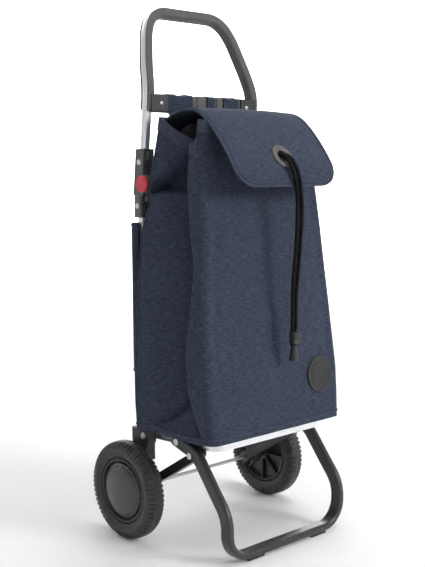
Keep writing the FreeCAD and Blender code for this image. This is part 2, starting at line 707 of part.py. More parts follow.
def make_upper_casings():
    """The casing's upper half: it grips the handle's leg and turns on the fold pivot round the tongue."""
    low = casing_low()
    seam = size.seam_rise
    top = seam + size.upper_casing_rise
    half = size.casing_depth / 2
    block = side_outline(
        [
            (pivot_back, seam),
            (handle_back(seam) + half, seam),
            (handle_back(top) + half, top),
            (handle_back(top) - half, top),
            (pivot_back, size.pivot_rise + size.knuckle_radius),
        ],
        low, size.casing_side)
    knuckle = rod_shape(size.knuckle_radius, low, size.casing_side, pivot_back, size.pivot_rise)
    casing = block.fuse(knuckle).removeSplitter()
    slot_wide = size.tongue_thickness + 2 * size.side_gap
    slot_low = size.tube_spread - slot_wide / 2
    reach = size.tongue_half + 1
    slots = [
        Part.makeBox(slot_wide, 60, size.pivot_rise - seam + reach + 5,
                     Vector(slot_low, pivot_back + reach - 60, seam - 5)),
        Part.makeBox(slot_wide, 60, top - 4 - size.pivot_rise,
                     Vector(slot_low, handle_back(size.pivot_rise + 40) - size.tube_side / 2 - 0.6 - 60,
                            size.pivot_rise)),
    ]
    leg, radii = handle_route(seam + HANDLE_FOOT)
    channel = carried(rounded_face(size.tube_side, size.tube_side, size.tube_corner), leg[:2], [0, 0], X_AXIS)
    seat_low = low + size.casing_side - size.button_travel - size.button_seat - 0.3
    seat = rod_shape(size.button_radius + 0.4, seat_low, 20, pivot_back, size.pivot_rise)
    pin = rod_shape(size.pin_radius + size.running_gap, 0, 300, pivot_back, size.pivot_rise)
    rivet = rod_shape(size.rivet_radius, 0, 300, handle_back(upper_rivet_rise()), upper_rivet_rise())
    casing = casing.cut(slots + [channel, seat, pin, rivet])
    casing = max(casing.Solids, key=lambda solid: solid.Volume)
    right = part_feature("upper_casing_right", casing)
    mirrored("upper_casing_left", right)


def make_buttons():
    """Round release buttons in the upper casings, on the fold pivot's axis."""
    outer = casing_low() + size.casing_side
    for side, sign in SIDES:
        body = new_body("button_" + side)
        length = "button_proud + button_seat"
        add_cylinder(body, body.Name + "_disc", "button_radius", length, (0, 0, 0))
        face_x = size.button_proud + size.button_seat if sign > 0 else 0
        round_edges(body, body.Name + "_round", "button_proud / 2",
                    lambda edge: isinstance(edge.Curve, Part.Circle) and abs(edge.BoundBox.XMin - face_x) < 0.01)
        low = outer - size.button_seat if sign > 0 else -outer - size.button_proud
        place(body, low, pivot_back, size.pivot_rise)


# ---------------------------------------------------------------- tray, stand and struts

LEG_PIVOT_TILT = 1.36
leg_line = math.radians(size.tray_lean) * LEG_PIVOT_TILT
leg_pivot_back = tray_pivot_back - size.leg_pivot_along * math.cos(leg_line)
leg_pivot_rise = size.tray_pivot_rise + size.leg_pivot_along * math.sin(leg_line)
strut_end_back = axle_back - size.strut_end_forward


def make_tray():
    """A flat band bent round the tray's front, and the board inside it."""
    reach = size.tray_reach
    outer = Part.makeBox(2 * size.tray_half_width, reach + 8, size.tray_band,
                         Vector(-size.tray_half_width, -reach, -size.tray_band / 2))
    outer = outer.makeFillet(size.tray_corner, [
        e for e in outer.Edges if runs_along(Z_AXIS)(e) and e.BoundBox.YMin < -reach + 1])
    wall = size.tray_wall
    inner = Part.makeBox(2 * (size.tray_half_width - wall), reach + 30, size.tray_band * 2,
                         Vector(-size.tray_half_width + wall, -reach + wall, -size.tray_band))
    inner = inner.makeFillet(size.tray_corner - wall, [
        e for e in inner.Edges if runs_along(Z_AXIS)(e) and e.BoundBox.YMin < -reach + wall + 1])
    pivot_bore = rod_shape(size.pin_radius + size.running_gap, -300, 600, 0, 0)
    rim = outer.cut([inner, pivot_bore])
    feature = part_feature("tray_rim", rim)
    place(feature, 0, tray_pivot_back, size.tray_pivot_rise, -size.tray_lean)
    moved = feature.Shape.copy()
    stand_bore = rod_shape(size.pin_radius, -300, 600, leg_pivot_back, leg_pivot_rise)
    feature.Shape = moved.cut(stand_bore)
    feature.Placement = FreeCAD.Placement()

    board = Part.makeBox(2 * (size.tray_half_width - wall), reach - wall - 22, size.board_thickness,
                         Vector(-size.tray_half_width + wall, -reach + wall, 1.5))
    board = board.makeFillet(size.tray_corner - wall, [
        e for e in board.Edges if runs_along(Z_AXIS)(e) and e.BoundBox.YMin < -reach + wall + 1])
    feature = part_feature("base_board", board)
    place(feature, 0, tray_pivot_back, size.tray_pivot_rise, -size.tray_lean)
    notches = [rod_shape(size.pin_radius + 3, sign * size.tray_half_width - 6, 12, leg_pivot_back, leg_pivot_rise)
               for _, sign in SIDES]
    feature.Shape = feature.Shape.copy().cut(notches)
    feature.Placement = FreeCAD.Placement()


def stand_route():
    """Points and radii of the stand's right half, from its pivot end down to the middle of the lower bar."""
    half = size.leg_side / 2
    bar_back = front_face + size.leg_depth / 2
    bar_rise = size.pad_rise + half
    spread = size.leg_spread
    points = [
        Vector(spread, leg_pivot_back + 11, leg_pivot_rise + 3.5),
        Vector(spread, leg_pivot_back - 50, leg_pivot_rise - 15),
        Vector(spread, leg_pivot_back - 98, leg_pivot_rise - 75),
        Vector(spread, bar_back, 88),
        Vector(spread, bar_back, bar_rise),
        Vector(0, bar_back, bar_rise),
    ]
    return points, [0, 60, 110, 70, size.stand_corner, 0]


def make_stand():
    """The black stand bar, its foot pads and the rivets that hold the struts' ends."""
    points, radii = stand_route()
    half = carried(rounded_face(size.leg_side, size.leg_depth, size.leg_corner), points, radii, X_AXIS)
    loop = both_halves(half)
    pivot_bore = rod_shape(size.pin_radius + size.running_gap, -300, 600, leg_pivot_back, leg_pivot_rise)
    rivet_bore = rod_shape(size.pin_radius, -300, 600, strut_end_back, size.strut_end_rise)
    room = size.bag_floor - size.leg_clear
    above = Part.makeBox(600, 200, 100, Vector(-300, leg_pivot_back - 100, room))
    part_feature("stand_loop", loop.cut([pivot_bore, rivet_bore, above]))

    outer = size.leg_spread + size.leg_side / 2
    rivet = rod_shape(size.pin_radius, outer - size.leg_side, size.leg_side, strut_end_back, size.strut_end_rise)
    cap = rod_shape(size.pin_radius + 2, outer, size.rivet_proud, strut_end_back, size.strut_end_rise)
    rivet = rivet.fuse(cap).removeSplitter()
    part_feature("strut_rivets", Part.makeCompound([rivet, rivet.mirror(ORIGIN, X_AXIS)]))

    pads = []
    for side, sign in SIDES:
        low = sign * (size.leg_spread - size.stand_corner - size.pad_long / 2) - size.pad_long / 2
        pad = Part.makeBox(size.pad_long, size.leg_depth - 6, size.pad_rise,
                           Vector(low, front_face + 3, 0))
        pads.append(pad)
    part_feature("stand_pads", Part.makeCompound(pads))


def make_struts():
    """Black bars from the axle to the stand's legs, with an eye at each end."""
    start = Vector(0, axle_back, axle_rise)
    end = Vector(0, strut_end_back, size.strut_end_rise)
    along = (end - start).normalize()
    normal = Vector(0, -along.z, along.y)
    half = size.strut_half
    corners = [start + normal * half, end + normal * half, end - normal * half, start - normal * half]
    bar = side_outline([(c.y, c.z) for c in corners], size.strut_inner, size.strut_side)
    eyes = [rod_shape(half, size.strut_inner, size.strut_side, p.y, p.z) for p in (start, end)]
    collar = rod_shape(half + 4, size.strut_inner, size.strut_side, start.y, start.z)
    strut = bar.fuse(eyes + [collar]).removeSplitter()
    bores = [
        rod_shape(size.axle_radius + size.running_gap, 0, 300, start.y, start.z),
        rod_shape(size.pin_radius + size.running_gap, 0, 300, end.y, end.z),
    ]
    right = part_feature("strut_right", strut.cut(bores))
    mirrored("strut_left", right)


# ---------------------------------------------------------------- bag, sleeve, badge and hanging loops


def bag_back(rise):
    """Y of the bag's back at a height: straight up the mast, then forward of the fold casings."""
    flat = mast_foot_back - size.tube_side / 2 - size.bag_gap
    casing_front = pivot_back - size.knuckle_radius - size.bag_gap
    clear_low = size.seam_rise - 20
    clear_high = size.pivot_rise + size.knuckle_radius
    steps = [(size.bag_floor, flat), (size.bag_straight, flat), (clear_low, casing_front),
             (clear_high, casing_front), (size.bag_top, casing_front - 13)]
    for (low, y_low), (high, y_high) in zip(steps, steps[1:]):
        if rise <= high:
            share = (rise - low) / (high - low)
            return y_low + (y_high - y_low) * share
    return steps[-1][1]


# Height above the bag's floor as a share of its height, half width, and Y of the front.
BAG_SECTIONS = [
    (0.0, 176.0, -146.0),
    (0.18, 181.0, -136.0),
    (0.46, 172.5, -116.0),
    (0.65, 163.0, -105.0),
    (0.80, 155.0, -95.0),
    (1.0, 143.0, -83.0),
]


def bag_wire(share, half_width, front, inset):
    """The bag's outline at one height, inset by the wall."""
    rise = size.bag_floor + (size.bag_top - size.bag_floor) * share
    back = bag_back(rise)
    across = 2 * (half_width - inset)
    deep = back - front - 2 * inset
    wire = rounded_wire(across, deep, size.bag_corner - inset)
    wire.translate(Vector(0, (back + front) / 2, rise))
    return wire


def make_bag():
    """A lofted shell that is open at the top, with a floor."""
    outer = Part.makeLoft([bag_wire(*row, 0.0) for row in BAG_SECTIONS], True, True)
    inner = Part.makeLoft([bag_wire(*row, size.bag_wall) for row in BAG_SECTIONS], True, True)
    lid = Part.makeBox(600, 600, size.bag_wall, Vector(-300, -300, size.bag_floor))
    shell = outer.cut(inner.cut(lid))
    part_feature("bag_body", shell)

    wall = size.sleeve_wall
    inner_back = size.tube_side / 2 + 0.6
    long = size.sleeve_high - size.sleeve_low
    half = size.sleeve_half_width
    front = -size.tube_side / 2 + 1.0
    back = Part.makeBox(2 * half, wall, long, Vector(-half, inner_back, 0))
    sides = [Part.makeBox(wall, inner_back + wall - front, long, Vector(x, front, 0)) for x in (-half, half - wall)]
    sleeve = part_feature("rear_sleeve", back.fuse(sides).removeSplitter())
    place(sleeve, 0, mast_back(size.sleeve_low), size.sleeve_low, -size.mast_lean)

    share = (size.badge_rise - size.bag_floor) / (size.bag_top - size.bag_floor)
    lower, upper = BAG_SECTIONS[0], BAG_SECTIONS[1]
    high = (size.bag_top - size.bag_floor) * (upper[0] - lower[0])
    normal = Vector(0, -high, upper[2] - lower[2]).normalize()
    wall = lower[2] + (upper[2] - lower[2]) * share / (upper[0] - lower[0])
    base = Vector(size.badge_across, wall, size.badge_rise) + normal * size.badge_gap
    badge = round_rod("badge", "badge_radius", "badge_depth", (base.x, base.y, base.z), normal)
    badge.Label = "badge"


LOOP_SPANS = [(-96.0, -32.0), (5.0, 27.0), (50.0, 88.0)]


def make_hanging_loops():
    """Cloth loops over the crossbar that carry the bag."""
    back = handle_back(size.bar_rise)
    skin = 2.0
    gap = 0.3
    half_d = size.bar_depth / 2 + gap
    half_h = size.bar_height / 2 + gap
    loops = []
    for low, high in LOOP_SPANS:
        wide = high - low
        outer = Part.makeBox(wide, 2 * (half_d + skin), 2 * (half_h + skin),
                             Vector(low, back - half_d - skin, size.bar_rise - half_h - skin))
        inner = Part.makeBox(wide, 2 * half_d, 2 * half_h, Vector(low, back - half_d, size.bar_rise - half_h))
        foot = (flap_hinge_back + 6, size.flap_hinge_rise - 12)
        top = (back - half_d - skin, size.bar_rise - 4)
        strap = side_outline([foot, top, (top[0], top[1] - 4), (foot[0] + 2, foot[1] - 3)], low, wide)
        loops.append(outer.cut(inner).fuse(strap).removeSplitter())
    part_feature("hanging_loops", Part.makeCompound(loops))


# ---------------------------------------------------------------- flap, eyelet and cord

flap_hinge_back = pivot_back - size.knuckle_radius - size.bag_gap - 18
FLAP_LINE = [(0.0, 0.0), (-33.0, 15.0), (-73.0, 20.5), (-105.0, 12.0), (-137.0, -13.0), (-171.0, -52.0),
             (-192.0, -83.0), (-203.0, -110.0), (-204.5, -123.0)]


def flap_curve(drop=0.0):
    """The flap's outer line in the side view, through its hinge and down over the bag's front."""
    curve = Part.BSplineCurve()
    curve.interpolate([Vector(0, flap_hinge_back + y, size.flap_hinge_rise + z - drop) for y, z in FLAP_LINE])
    return curve


def flap_at(rise):
    """Y of the flap's outer line on its front side at a height, and its outward direction."""
    curve = flap_curve()
    low, high = curve.FirstParameter, curve.LastParameter
    start = low + (high - low) * 0.5
    for _ in range(60):
        middle = (start + high) / 2
        if curve.value(middle).z > rise:
            start = middle
        else:
            high = middle
    tangent = Vector(*curve.tangent(high)[0])
    normal = Vector(0, tangent.z, -tangent.y)
    if normal.y > 0:
        normal = normal * -1
    return curve.value(high), normal.normalize()


def make_flap():
    """The padded flap, bent over the bag's mouth, with its eyelet."""
    curve = flap_curve()
    edge = curve.toShape()
    steps = 24
    low, high = curve.FirstParameter, curve.LastParameter
    inner_points = []
    for step in range(steps + 1):
        t = low + (high - low) * step / steps
        tangent = Vector(*curve.tangent(t)[0])
        inner_points.append(curve.value(t) + Vector(0, -tangent.z, tangent.y) * size.flap_wall)
    inner = Part.BSplineCurve()
    inner.interpolate(inner_points)
    ends = [
        Part.LineSegment(curve.value(high), inner_points[-1]).toShape(),
        Part.LineSegment(inner_points[0], curve.value(low)).toShape(),
    ]
    wire = Part.Wire(Part.__sortEdges__([edge, inner.toShape()] + ends))
    half = size.flap_half_width
    slab = Part.Face(wire).extrude(Vector(2 * half, 0, 0))
    slab.translate(Vector(-half, 0, 0))
    bottom = size.flap_hinge_rise + FLAP_LINE[-1][1] - 2
    front_cut = Part.makeBox(2 * half, 160, 400, Vector(-half, -260, bottom + 2))
    front_cut = front_cut.makeFillet(size.flap_corner, [
        e for e in front_cut.Edges if runs_along(Y_AXIS)(e) and e.BoundBox.ZMax < bottom + 3])
    rear_keep = Part.makeBox(2 * half, 300, 400, Vector(-half, -101, bottom))
    flap = slab.common(front_cut.fuse(rear_keep))

    centre, normal = flap_at(size.eyelet_rise)
    base = centre - normal * (size.flap_wall + 2.5)
    length = size.flap_wall + 2.5 + size.eyelet_proud
    ring = Part.makeCylinder(size.eyelet_radius, length, base, normal)
    hole = Part.makeCylinder(size.eyelet_hole, length * 3, base - normal * length, normal)
    barrel = Part.makeCylinder(size.eyelet_hole + 3, length * 3, base - normal * length, normal)
    flap = flap.cut(barrel)
    part_feature("flap", flap)
    eyelet = ring.cut([hole, flap])
    part_feature("eyelet", max(eyelet.Solids, key=lambda solid: solid.Volume))


# Route of the drawcord's two strands, from the eyelet down to the cord end: (X, Y, Z).
STRAND_SPREAD = size.cord_spacing / 2
CORD_LINE = [
    (0.0, -131.0, 735.5),
    (0.5, -147.0, 738.5),
    (3.5, -160.0, 727.5),
    (9.5, -168.5, 705.0),
    (15.5, -170.5, 672.0),
    (18.0, -170.5, 630.0),
    (16.6, -169.0, 575.0),
    (13.6, -166.5, 520.0),
    (12.5, -164.0, 480.0),
    (14.5, -162.5, 450.0),
    (14.5, -162.5, 385.0),
]
# How much further than in the lock each point of a strand lies from the middle line.
CORD_SPREAD = [0.0, 0.3, 0.6, 1.5, 0.8, 1.5, 0.8, 1.5, 0.0, 0.0, 0.0]


def cord_radii(points):
    """A tangent arc at every point, as large as its two runs allow."""
    radii = [0.0]
    for index in range(1, len(points) - 1):
        before = points[index] - points[index - 1]
        after = points[index + 1] - points[index]
        turn = before.getAngle(after)
        shorter = min(before.Length, after.Length)
        radii.append(0.45 * shorter / math.tan(turn / 2))
    return radii + [0.0]


def make_cords():
    """Two strands of drawcord, the cord lock with its plunger, and the bell-shaped cord end."""
    for side, sign in SIDES:
        points = [Vector(x + sign * (STRAND_SPREAD + more), y, z) for (x, y, z), more in zip(CORD_LINE, CORD_SPREAD)]
        radii = cord_radii(points)
        part_feature("cord_" + side, carried(round_face(size.cord_radius), points, radii, X_AXIS))
        print("cord_" + side, "length", round(route_length(points, radii), 1))
    x, y, bottom = CORD_LINE[-1]
    clear = size.cord_radius + 0.3
    lock_back = y + size.cord_radius + 1.5
    lock_front = lock_back - size.lock_depth
    lock = Part.makeBox(size.lock_width, size.lock_depth, size.lock_height,
                        Vector(x - size.lock_width / 2, lock_front, size.lock_rise - size.lock_height / 2))
    lock = lock.makeFillet(3.0, [e for e in lock.Edges if runs_along(Z_AXIS)(e)])
    bores = [Part.makeCylinder(clear, 200, Vector(x + sign * STRAND_SPREAD, y, size.lock_rise - 100)) for _, sign in SIDES]
    plunger_back = lock_front + size.plunger_radius + 1.9
    top = size.lock_rise + size.lock_height / 2
    sunk = 2.0
    well = Part.makeCylinder(size.plunger_radius + 0.3, size.plunger_travel + sunk + 1,
                             Vector(x, plunger_back, top - size.plunger_travel - sunk - 1))
    part_feature("cord_lock", lock.cut(bores + [well]))
    plunger = Part.makeCylinder(size.plunger_radius, size.plunger_travel + sunk + 1,
                                Vector(x, plunger_back, top - sunk))
    part_feature("lock_plunger", plunger)
    bell = Part.makeCone(size.bell_radius, size.bell_radius * 0.8, size.bell_height,
                         Vector(x, y, bottom - size.bell_height))
    bell = bell.makeFillet(2.0, [e for e in bell.Edges if isinstance(e.Curve, Part.Circle)])
    part_feature("cord_end", bell)


make_wheels()
make_axle()
make_masts()
make_mast_feet()
make_pins()
make_lower_casings()
rivet_pair("lower_rivets", mast_back(lower_rivet_rise()), lower_rivet_rise())
make_handle()
make_upper_casings()
rivet_pair("upper_rivets", handle_back(upper_rivet_rise()), upper_rivet_rise())
make_buttons()
make_tray()
make_stand()
make_struts()
make_bag()
make_hanging_loops()
make_flap()
make_cords()
doc.recompute()

# ---------------------------------------------------------------- checks and export

PIECES = [
    "tyre_left", "tyre_right", "hub_left", "hub_right", "bush_left", "bush_right", "hub_cap_left", "hub_cap_right",
    "axle", "axle_spacers", "axle_clips", "mast_left", "mast_right", "mast_foot_left", "mast_foot_right",
    "tray_pins", "stand_pins", "fold_pins", "lower_casing_left", "lower_casing_right", "lower_rivets",
    "handle_tube", "handle_grip", "crossbar", "bar_clamp_left", "bar_clamp_right", "upper_casing_left",
    "upper_casing_right", "upper_rivets", "button_left", "button_right", "tray_rim", "base_board", "stand_loop",
    "stand_pads", "strut_rivets", "strut_left", "strut_right", "bag_body", "rear_sleeve", "badge", "hanging_loops",
    "flap", "eyelet", "cord_left", "cord_right", "cord_lock", "lock_plunger", "cord_end",
]
failed = [o.Label for o in doc.Objects if {"Invalid", "Error"} & set(o.State)]
if failed:
    raise RuntimeError("features that did not build: " + ", ".join(failed))
os.makedirs("parts", exist_ok=True)
for label in PIECES:
    piece = doc.getObjectsByLabel(label)[0]
    shape = piece.Shape
    if shape.isNull() or not shape.isValid():
        raise RuntimeError("bad shape: " + label)
    shape.exportStep(os.path.join("parts", label + ".step"))
print(len(PIECES), "sub-parts written")
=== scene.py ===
"""Looks of the folding shopping trolley: bag, flap, drawcord, handle, fold joints, wheels, tray and stand.

Metres throughout, in the trolley's own frame: +Z up, -Y the front, X across, the floor at Z = 0.
"""

import json
import logging
import math
from dataclasses import dataclass
from enum import Enum
from typing import Iterable, Optional, Sequence

import bmesh
import bpy
import numpy as np
from mathutils import Matrix, Vector


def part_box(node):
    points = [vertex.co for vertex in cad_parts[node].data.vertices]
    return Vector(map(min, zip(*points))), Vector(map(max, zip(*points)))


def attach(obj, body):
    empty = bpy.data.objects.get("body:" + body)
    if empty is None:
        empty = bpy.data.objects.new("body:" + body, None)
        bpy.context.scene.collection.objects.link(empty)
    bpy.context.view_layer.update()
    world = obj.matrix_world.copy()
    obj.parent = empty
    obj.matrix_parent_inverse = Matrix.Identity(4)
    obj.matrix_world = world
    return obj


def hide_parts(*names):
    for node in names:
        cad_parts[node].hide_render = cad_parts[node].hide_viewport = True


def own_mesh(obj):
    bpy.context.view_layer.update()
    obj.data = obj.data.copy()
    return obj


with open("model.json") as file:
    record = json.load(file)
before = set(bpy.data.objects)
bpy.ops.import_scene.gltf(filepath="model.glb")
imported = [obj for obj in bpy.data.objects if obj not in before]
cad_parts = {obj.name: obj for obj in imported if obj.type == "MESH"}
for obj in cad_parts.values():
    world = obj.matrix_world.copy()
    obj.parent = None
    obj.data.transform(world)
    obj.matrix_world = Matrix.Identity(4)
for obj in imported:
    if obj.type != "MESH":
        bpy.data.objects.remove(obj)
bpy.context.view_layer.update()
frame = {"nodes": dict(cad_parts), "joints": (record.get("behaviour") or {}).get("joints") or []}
JOINTS = {joint["name"]: joint for joint in frame["joints"]}
LOG = logging.getLogger("trolley")
Array = np.ndarray


class Side(Enum):
    """Left and right of the trolley, with the sign of X."""

    LEFT = -1
    RIGHT = 1

    @property
    def word(self) -> str:
        """The side's name as the frame's nodes end."""
        return self.name.lower()


# ------------------------------------------------------------------ numbers and curves


def smooth(low: float, high: float, value: Array) -> Array:
    """Smooth step: 0 below low, 1 above high, and 3t^2 - 2t^3 between.

    Args:
        low: where the step starts.
        high: where the step ends.
        value: the values to test.

    Returns:
        The step's height at each value.
    """
    share = np.clip((value - low) / (high - low), 0.0, 1.0)
    return share * share * (3.0 - 2.0 * share)


def soft_min(first: Array, second: Array, blend: float) -> Array:
    """The smaller of two fields, rounded where they cross.

    Args:
        first: one field.
        second: the other field.
        blend: width of the rounding.

    Returns:
        -blend times log(exp(-first / blend) + exp(-second / blend)), computed safely.
    """
    low = np.minimum(first, second)
    return low - blend * np.log(np.exp(-(first - low) / blend) + np.exp(-(second - low) / blend))


def ripple(first: Array, second: Array, seed: int, count: int = 7, finest: float = 40.0) -> Array:
    """A gentle uneven field: a sum of sine waves in seeded directions.

    Args:
        first: one coordinate, in metres.
        second: the other coordinate, in metres.
        seed: picks the waves.
        count: how many waves.
        finest: the highest number of radians per metre.

    Returns:
        Values from about -1 to 1.
    """
    draw = np.random.default_rng(seed)
    total = np.zeros(np.broadcast(first, second).shape)
    for _ in range(count):
        angle = draw.uniform(0, math.tau)
        pace = draw.uniform(0.35, 1.0) * finest
        along = first * math.cos(angle) + second * math.sin(angle)
        total += np.sin(pace * along + draw.uniform(0, math.tau))
    return total / count


def catmull(points: Sequence[Sequence[float]], count: int) -> Array:
    """A smooth curve through points: Catmull-Rom pieces, evenly spaced by length.

    Args:
        points: the points it passes through.
        count: how many samples.

    Returns:
        An array of count points.
    """
    knots = np.array(points, float)
    padded = np.vstack([2 * knots[0] - knots[1], knots, 2 * knots[-1] - knots[-2]])
    share = np.linspace(0, 1, 24, endpoint=False)[:, None]
    pieces = []
    for a, b, c, d in zip(padded[:-3], padded[1:-2], padded[2:-1], padded[3:]):
        pieces.append(0.5 * (2 * b + (c - a) * share + (2 * a - 5 * b + 4 * c - d) * share**2
                             + (3 * b - a - 3 * c + d) * share**3))
    dense = np.vstack(pieces + [knots[-1:]])
    return resample(dense, count)


def resample(points: Array, count: int) -> Array:
    """Points spread evenly along a polyline.

    Args:
        points: the polyline.
        count: how many points to return.

    Returns:
        The evenly spaced points.
    """
    steps = np.linalg.norm(np.diff(points, axis=0), axis=1)
    reach = np.concatenate([[0.0], np.cumsum(steps)])
    wanted = np.linspace(0, reach[-1], count)
    return np.stack([np.interp(wanted, reach, points[:, axis]) for axis in range(points.shape[1])], axis=1)


def bent_path(points: Sequence[Sequence[float]], radii: Sequence[float], step: float = 0.004) -> Array:
    """Straight runs joined by tangent arcs, as a bender makes a tube.

    Args:
        points: the corners, from end to end.
        radii: the bend radius at each corner; the two ends have none.
        step: spacing along the arcs.

    Returns:
        Points along the tube's centre line.
    """
    corners = [np.array(point, float) for point in points]
    line = [corners[0]]
    for before, corner, after, radius in zip(corners, corners[1:], corners[2:], radii[1:]):
        into = (corner - before) / np.linalg.norm(corner - before)
        out = (after - corner) / np.linalg.norm(after - corner)
        turn = math.acos(float(np.clip(into @ out, -1, 1)))
        cut = radius * math.tan(turn / 2)
        inward = (out - into) / np.linalg.norm(out - into)
        centre = corner + inward * (radius / math.cos(turn / 2))
        first = corner - into * cut
        arm = first - centre
        count = max(3, int(radius * turn / step))
        angles = np.linspace(0, turn, count)[:, None]
        line.extend(centre + arm * np.cos(angles) + into * radius * np.sin(angles))
    line.append(corners[-1])
    return np.array(line)


def frames_along(path: Array, across: Sequence[float]) -> tuple[Array, Array, Array]:
    """Frames carried along a path without twist.

    Args:
        path: the centre line.
        across: the section's X direction at the start.

    Returns:
        Tangents, first side directions and second side directions, one row for each point.
    """
    tangent = np.gradient(path, axis=0)
    tangent /= np.linalg.norm(tangent, axis=1)[:, None]
    first = np.zeros_like(path)
    side = np.array(across, float)
    for index, direction in enumerate(tangent):
        side = side - direction * (side @ direction)
        side /= np.linalg.norm(side)
        first[index] = side
    return tangent, first, np.cross(tangent, first)


def rounded_section(across: float, deep: float, corner: float, per_corner: int = 6) -> Array:
    """A rounded rectangle, counter-clockwise.

    Args:
        across: full width.
        deep: full depth.
        corner: corner radius.
        per_corner: points in each corner's arc.

    Returns:
        Points (X, Y) of the outline.
    """
    angles = np.linspace(0, math.pi / 2, per_corner)
    outline = []
    for index, (sx, sy) in enumerate(((1, 1), (-1, 1), (-1, -1), (1, -1))):
        centre = np.array([sx * (across / 2 - corner), sy * (deep / 2 - corner)])
        turn = angles + index * math.pi / 2
        outline.append(centre + corner * np.stack([np.cos(turn), np.sin(turn)], axis=1))
    return np.vstack(outline)


# ------------------------------------------------------------------ meshes


def close_poles(mesh: bpy.types.Mesh) -> None:
    """Joins points that fall together, such as a pole's, and turns the faces of a closed mesh outward.

    Args:
        mesh: the mesh to mend.
    """
    work = bmesh.new()
    work.from_mesh(mesh)
    bmesh.ops.remove_doubles(work, verts=work.verts, dist=1e-7)
    if all(edge.is_manifold for edge in work.edges):
        bmesh.ops.recalc_face_normals(work, faces=work.faces)
    work.to_mesh(mesh)
    work.free()


class Shell:
    """Gathers grids of points and builds one mesh from them, with a UV map in metres."""

    def __init__(self) -> None:
        """Starts empty."""
        self.points: list[Array] = []
        self.faces: list[Array] = []
        self.uvs: list[Array] = []
        self.count = 0

    def grid(self, points: Array, close_rows: bool = False, close_columns: bool = False, flip: bool = False,
             uv: Optional[Array] = None) -> "Shell":
        """Adds a surface given as rows of points.

        Args:
            points: rows by columns by 3.
            close_rows: joins the last row to the first.
            close_columns: joins the last column to the first.
            flip: turns the faces over.
            uv: rows by columns by 2; distances along the rows and columns where it is left out.

        Returns:
            This shell.
        """
        rows, columns = points.shape[:2]
        if uv is None:
            along = np.zeros((rows, columns))
            around = np.zeros((rows, columns))
            along[1:] = np.cumsum(np.linalg.norm(np.diff(points, axis=0), axis=2), axis=0)
            around[:, 1:] = np.cumsum(np.linalg.norm(np.diff(points, axis=1), axis=2), axis=1)
            uv = np.stack([around, along], axis=2)
        index = np.arange(rows * columns).reshape(rows, columns)
        if close_rows:
            index = np.vstack([index, index[:1]])
        if close_columns:
            index = np.hstack([index, index[:, :1]])
        corners = [index[:-1, :-1], index[:-1, 1:], index[1:, 1:], index[1:, :-1]]
        quads = np.stack(corners, axis=2).reshape(-1, 4)
        if flip:
            quads = quads[:, ::-1]
        self.points.append(points.reshape(-1, 3))
        self.faces.append(quads + self.count)
        self.uvs.append(uv.reshape(-1, 2))
        self.count += rows * columns
        return self

    def tube(self, path: Array, section: Array, across: Sequence[float], caps: bool = True,
             scale: Optional[Array] = None) -> "Shell":
        """Adds a section carried along a path.

        Each point is the path plus the section's X and Y along the frame that the path carries.

        Args:
            path: the centre line.
            section: the outline (X, Y).
            across: the section's X direction at the start.
            caps: closes both ends with a fan of shrinking rings.
            scale: one factor on the section for each point.

        Returns:
            This shell.
        """
        _, first, second = frames_along(path, across)
        grow = np.ones(len(path)) if scale is None else scale
        if caps:
            shrink = np.array([0.0, 0.55, 0.93])
            path = np.vstack([np.repeat(path[:1], 3, 0), path, np.repeat(path[-1:], 3, 0)])
            first = np.vstack([np.repeat(first[:1], 3, 0), first, np.repeat(first[-1:], 3, 0)])
            second = np.vstack([np.repeat(second[:1], 3, 0), second, np.repeat(second[-1:], 3, 0)])
            grow = np.concatenate([shrink * grow[0], grow, shrink[::-1] * grow[-1]])
        rings = (path[:, None, :] + first[:, None, :] * (section[None, :, 0, None] * grow[:, None, None])
                 + second[:, None, :] * (section[None, :, 1, None] * grow[:, None, None]))
        return self.grid(rings, close_columns=True)

    def turned(self, profile: Array, centre: Sequence[float], axis: Sequence[float], sides: int = 64,
               flip: bool = False) -> "Shell":
        """Adds a profile turned about an axis.

        A point a along the axis and r away from it goes round by r cos and r sin of the angle.

        Args:
            profile: points (a, r).
            centre: a point on the axis.
            axis: its direction.
            sides: points round.
            flip: turns the faces over.

        Returns:
            This shell.
        """
        along = np.array(axis, float)
        along /= np.linalg.norm(along)
        helper = np.array([0.0, 0.0, 1.0]) if abs(along[2]) < 0.9 else np.array([1.0, 0.0, 0.0])
        first = np.cross(helper, along)
        first /= np.linalg.norm(first)
        second = np.cross(along, first)
        angles = np.linspace(0, math.tau, sides, endpoint=False)
        ring = first[None] * np.cos(angles)[:, None] + second[None] * np.sin(angles)[:, None]
        rows = (np.array(centre, float) + profile[:, 0, None, None] * along
                + profile[:, 1, None, None] * ring[None])
        return self.grid(rows, close_columns=True, flip=flip)

    def build(self, name: str, hard_angle: float = 40.0) -> bpy.types.Object:
        """Makes the mesh object, smooth shaded with edges kept hard above an angle.

        Args:
            name: the piece's name.
            hard_angle: degrees.

        Returns:
            The new object, at the origin.
        """
        mesh = bpy.data.meshes.new(name)
        points = np.vstack(self.points)
        faces = np.vstack(self.faces)
        uv = np.vstack(self.uvs)
        mesh.from_pydata(points.tolist(), [], faces.tolist())
        layer = mesh.uv_layers.new(name="Cloth")
        loops = np.empty(len(mesh.loops), np.int32)
        mesh.loops.foreach_get("vertex_index", loops)
        layer.data.foreach_set("uv", uv[loops].astype(np.float32).ravel())
        close_poles(mesh)
        mesh.validate()
        mesh.shade_smooth()
        mesh.set_sharp_from_angle(angle=math.radians(hard_angle))
        piece = bpy.data.objects.new(name, mesh)
        bpy.context.scene.collection.objects.link(piece)
        return piece


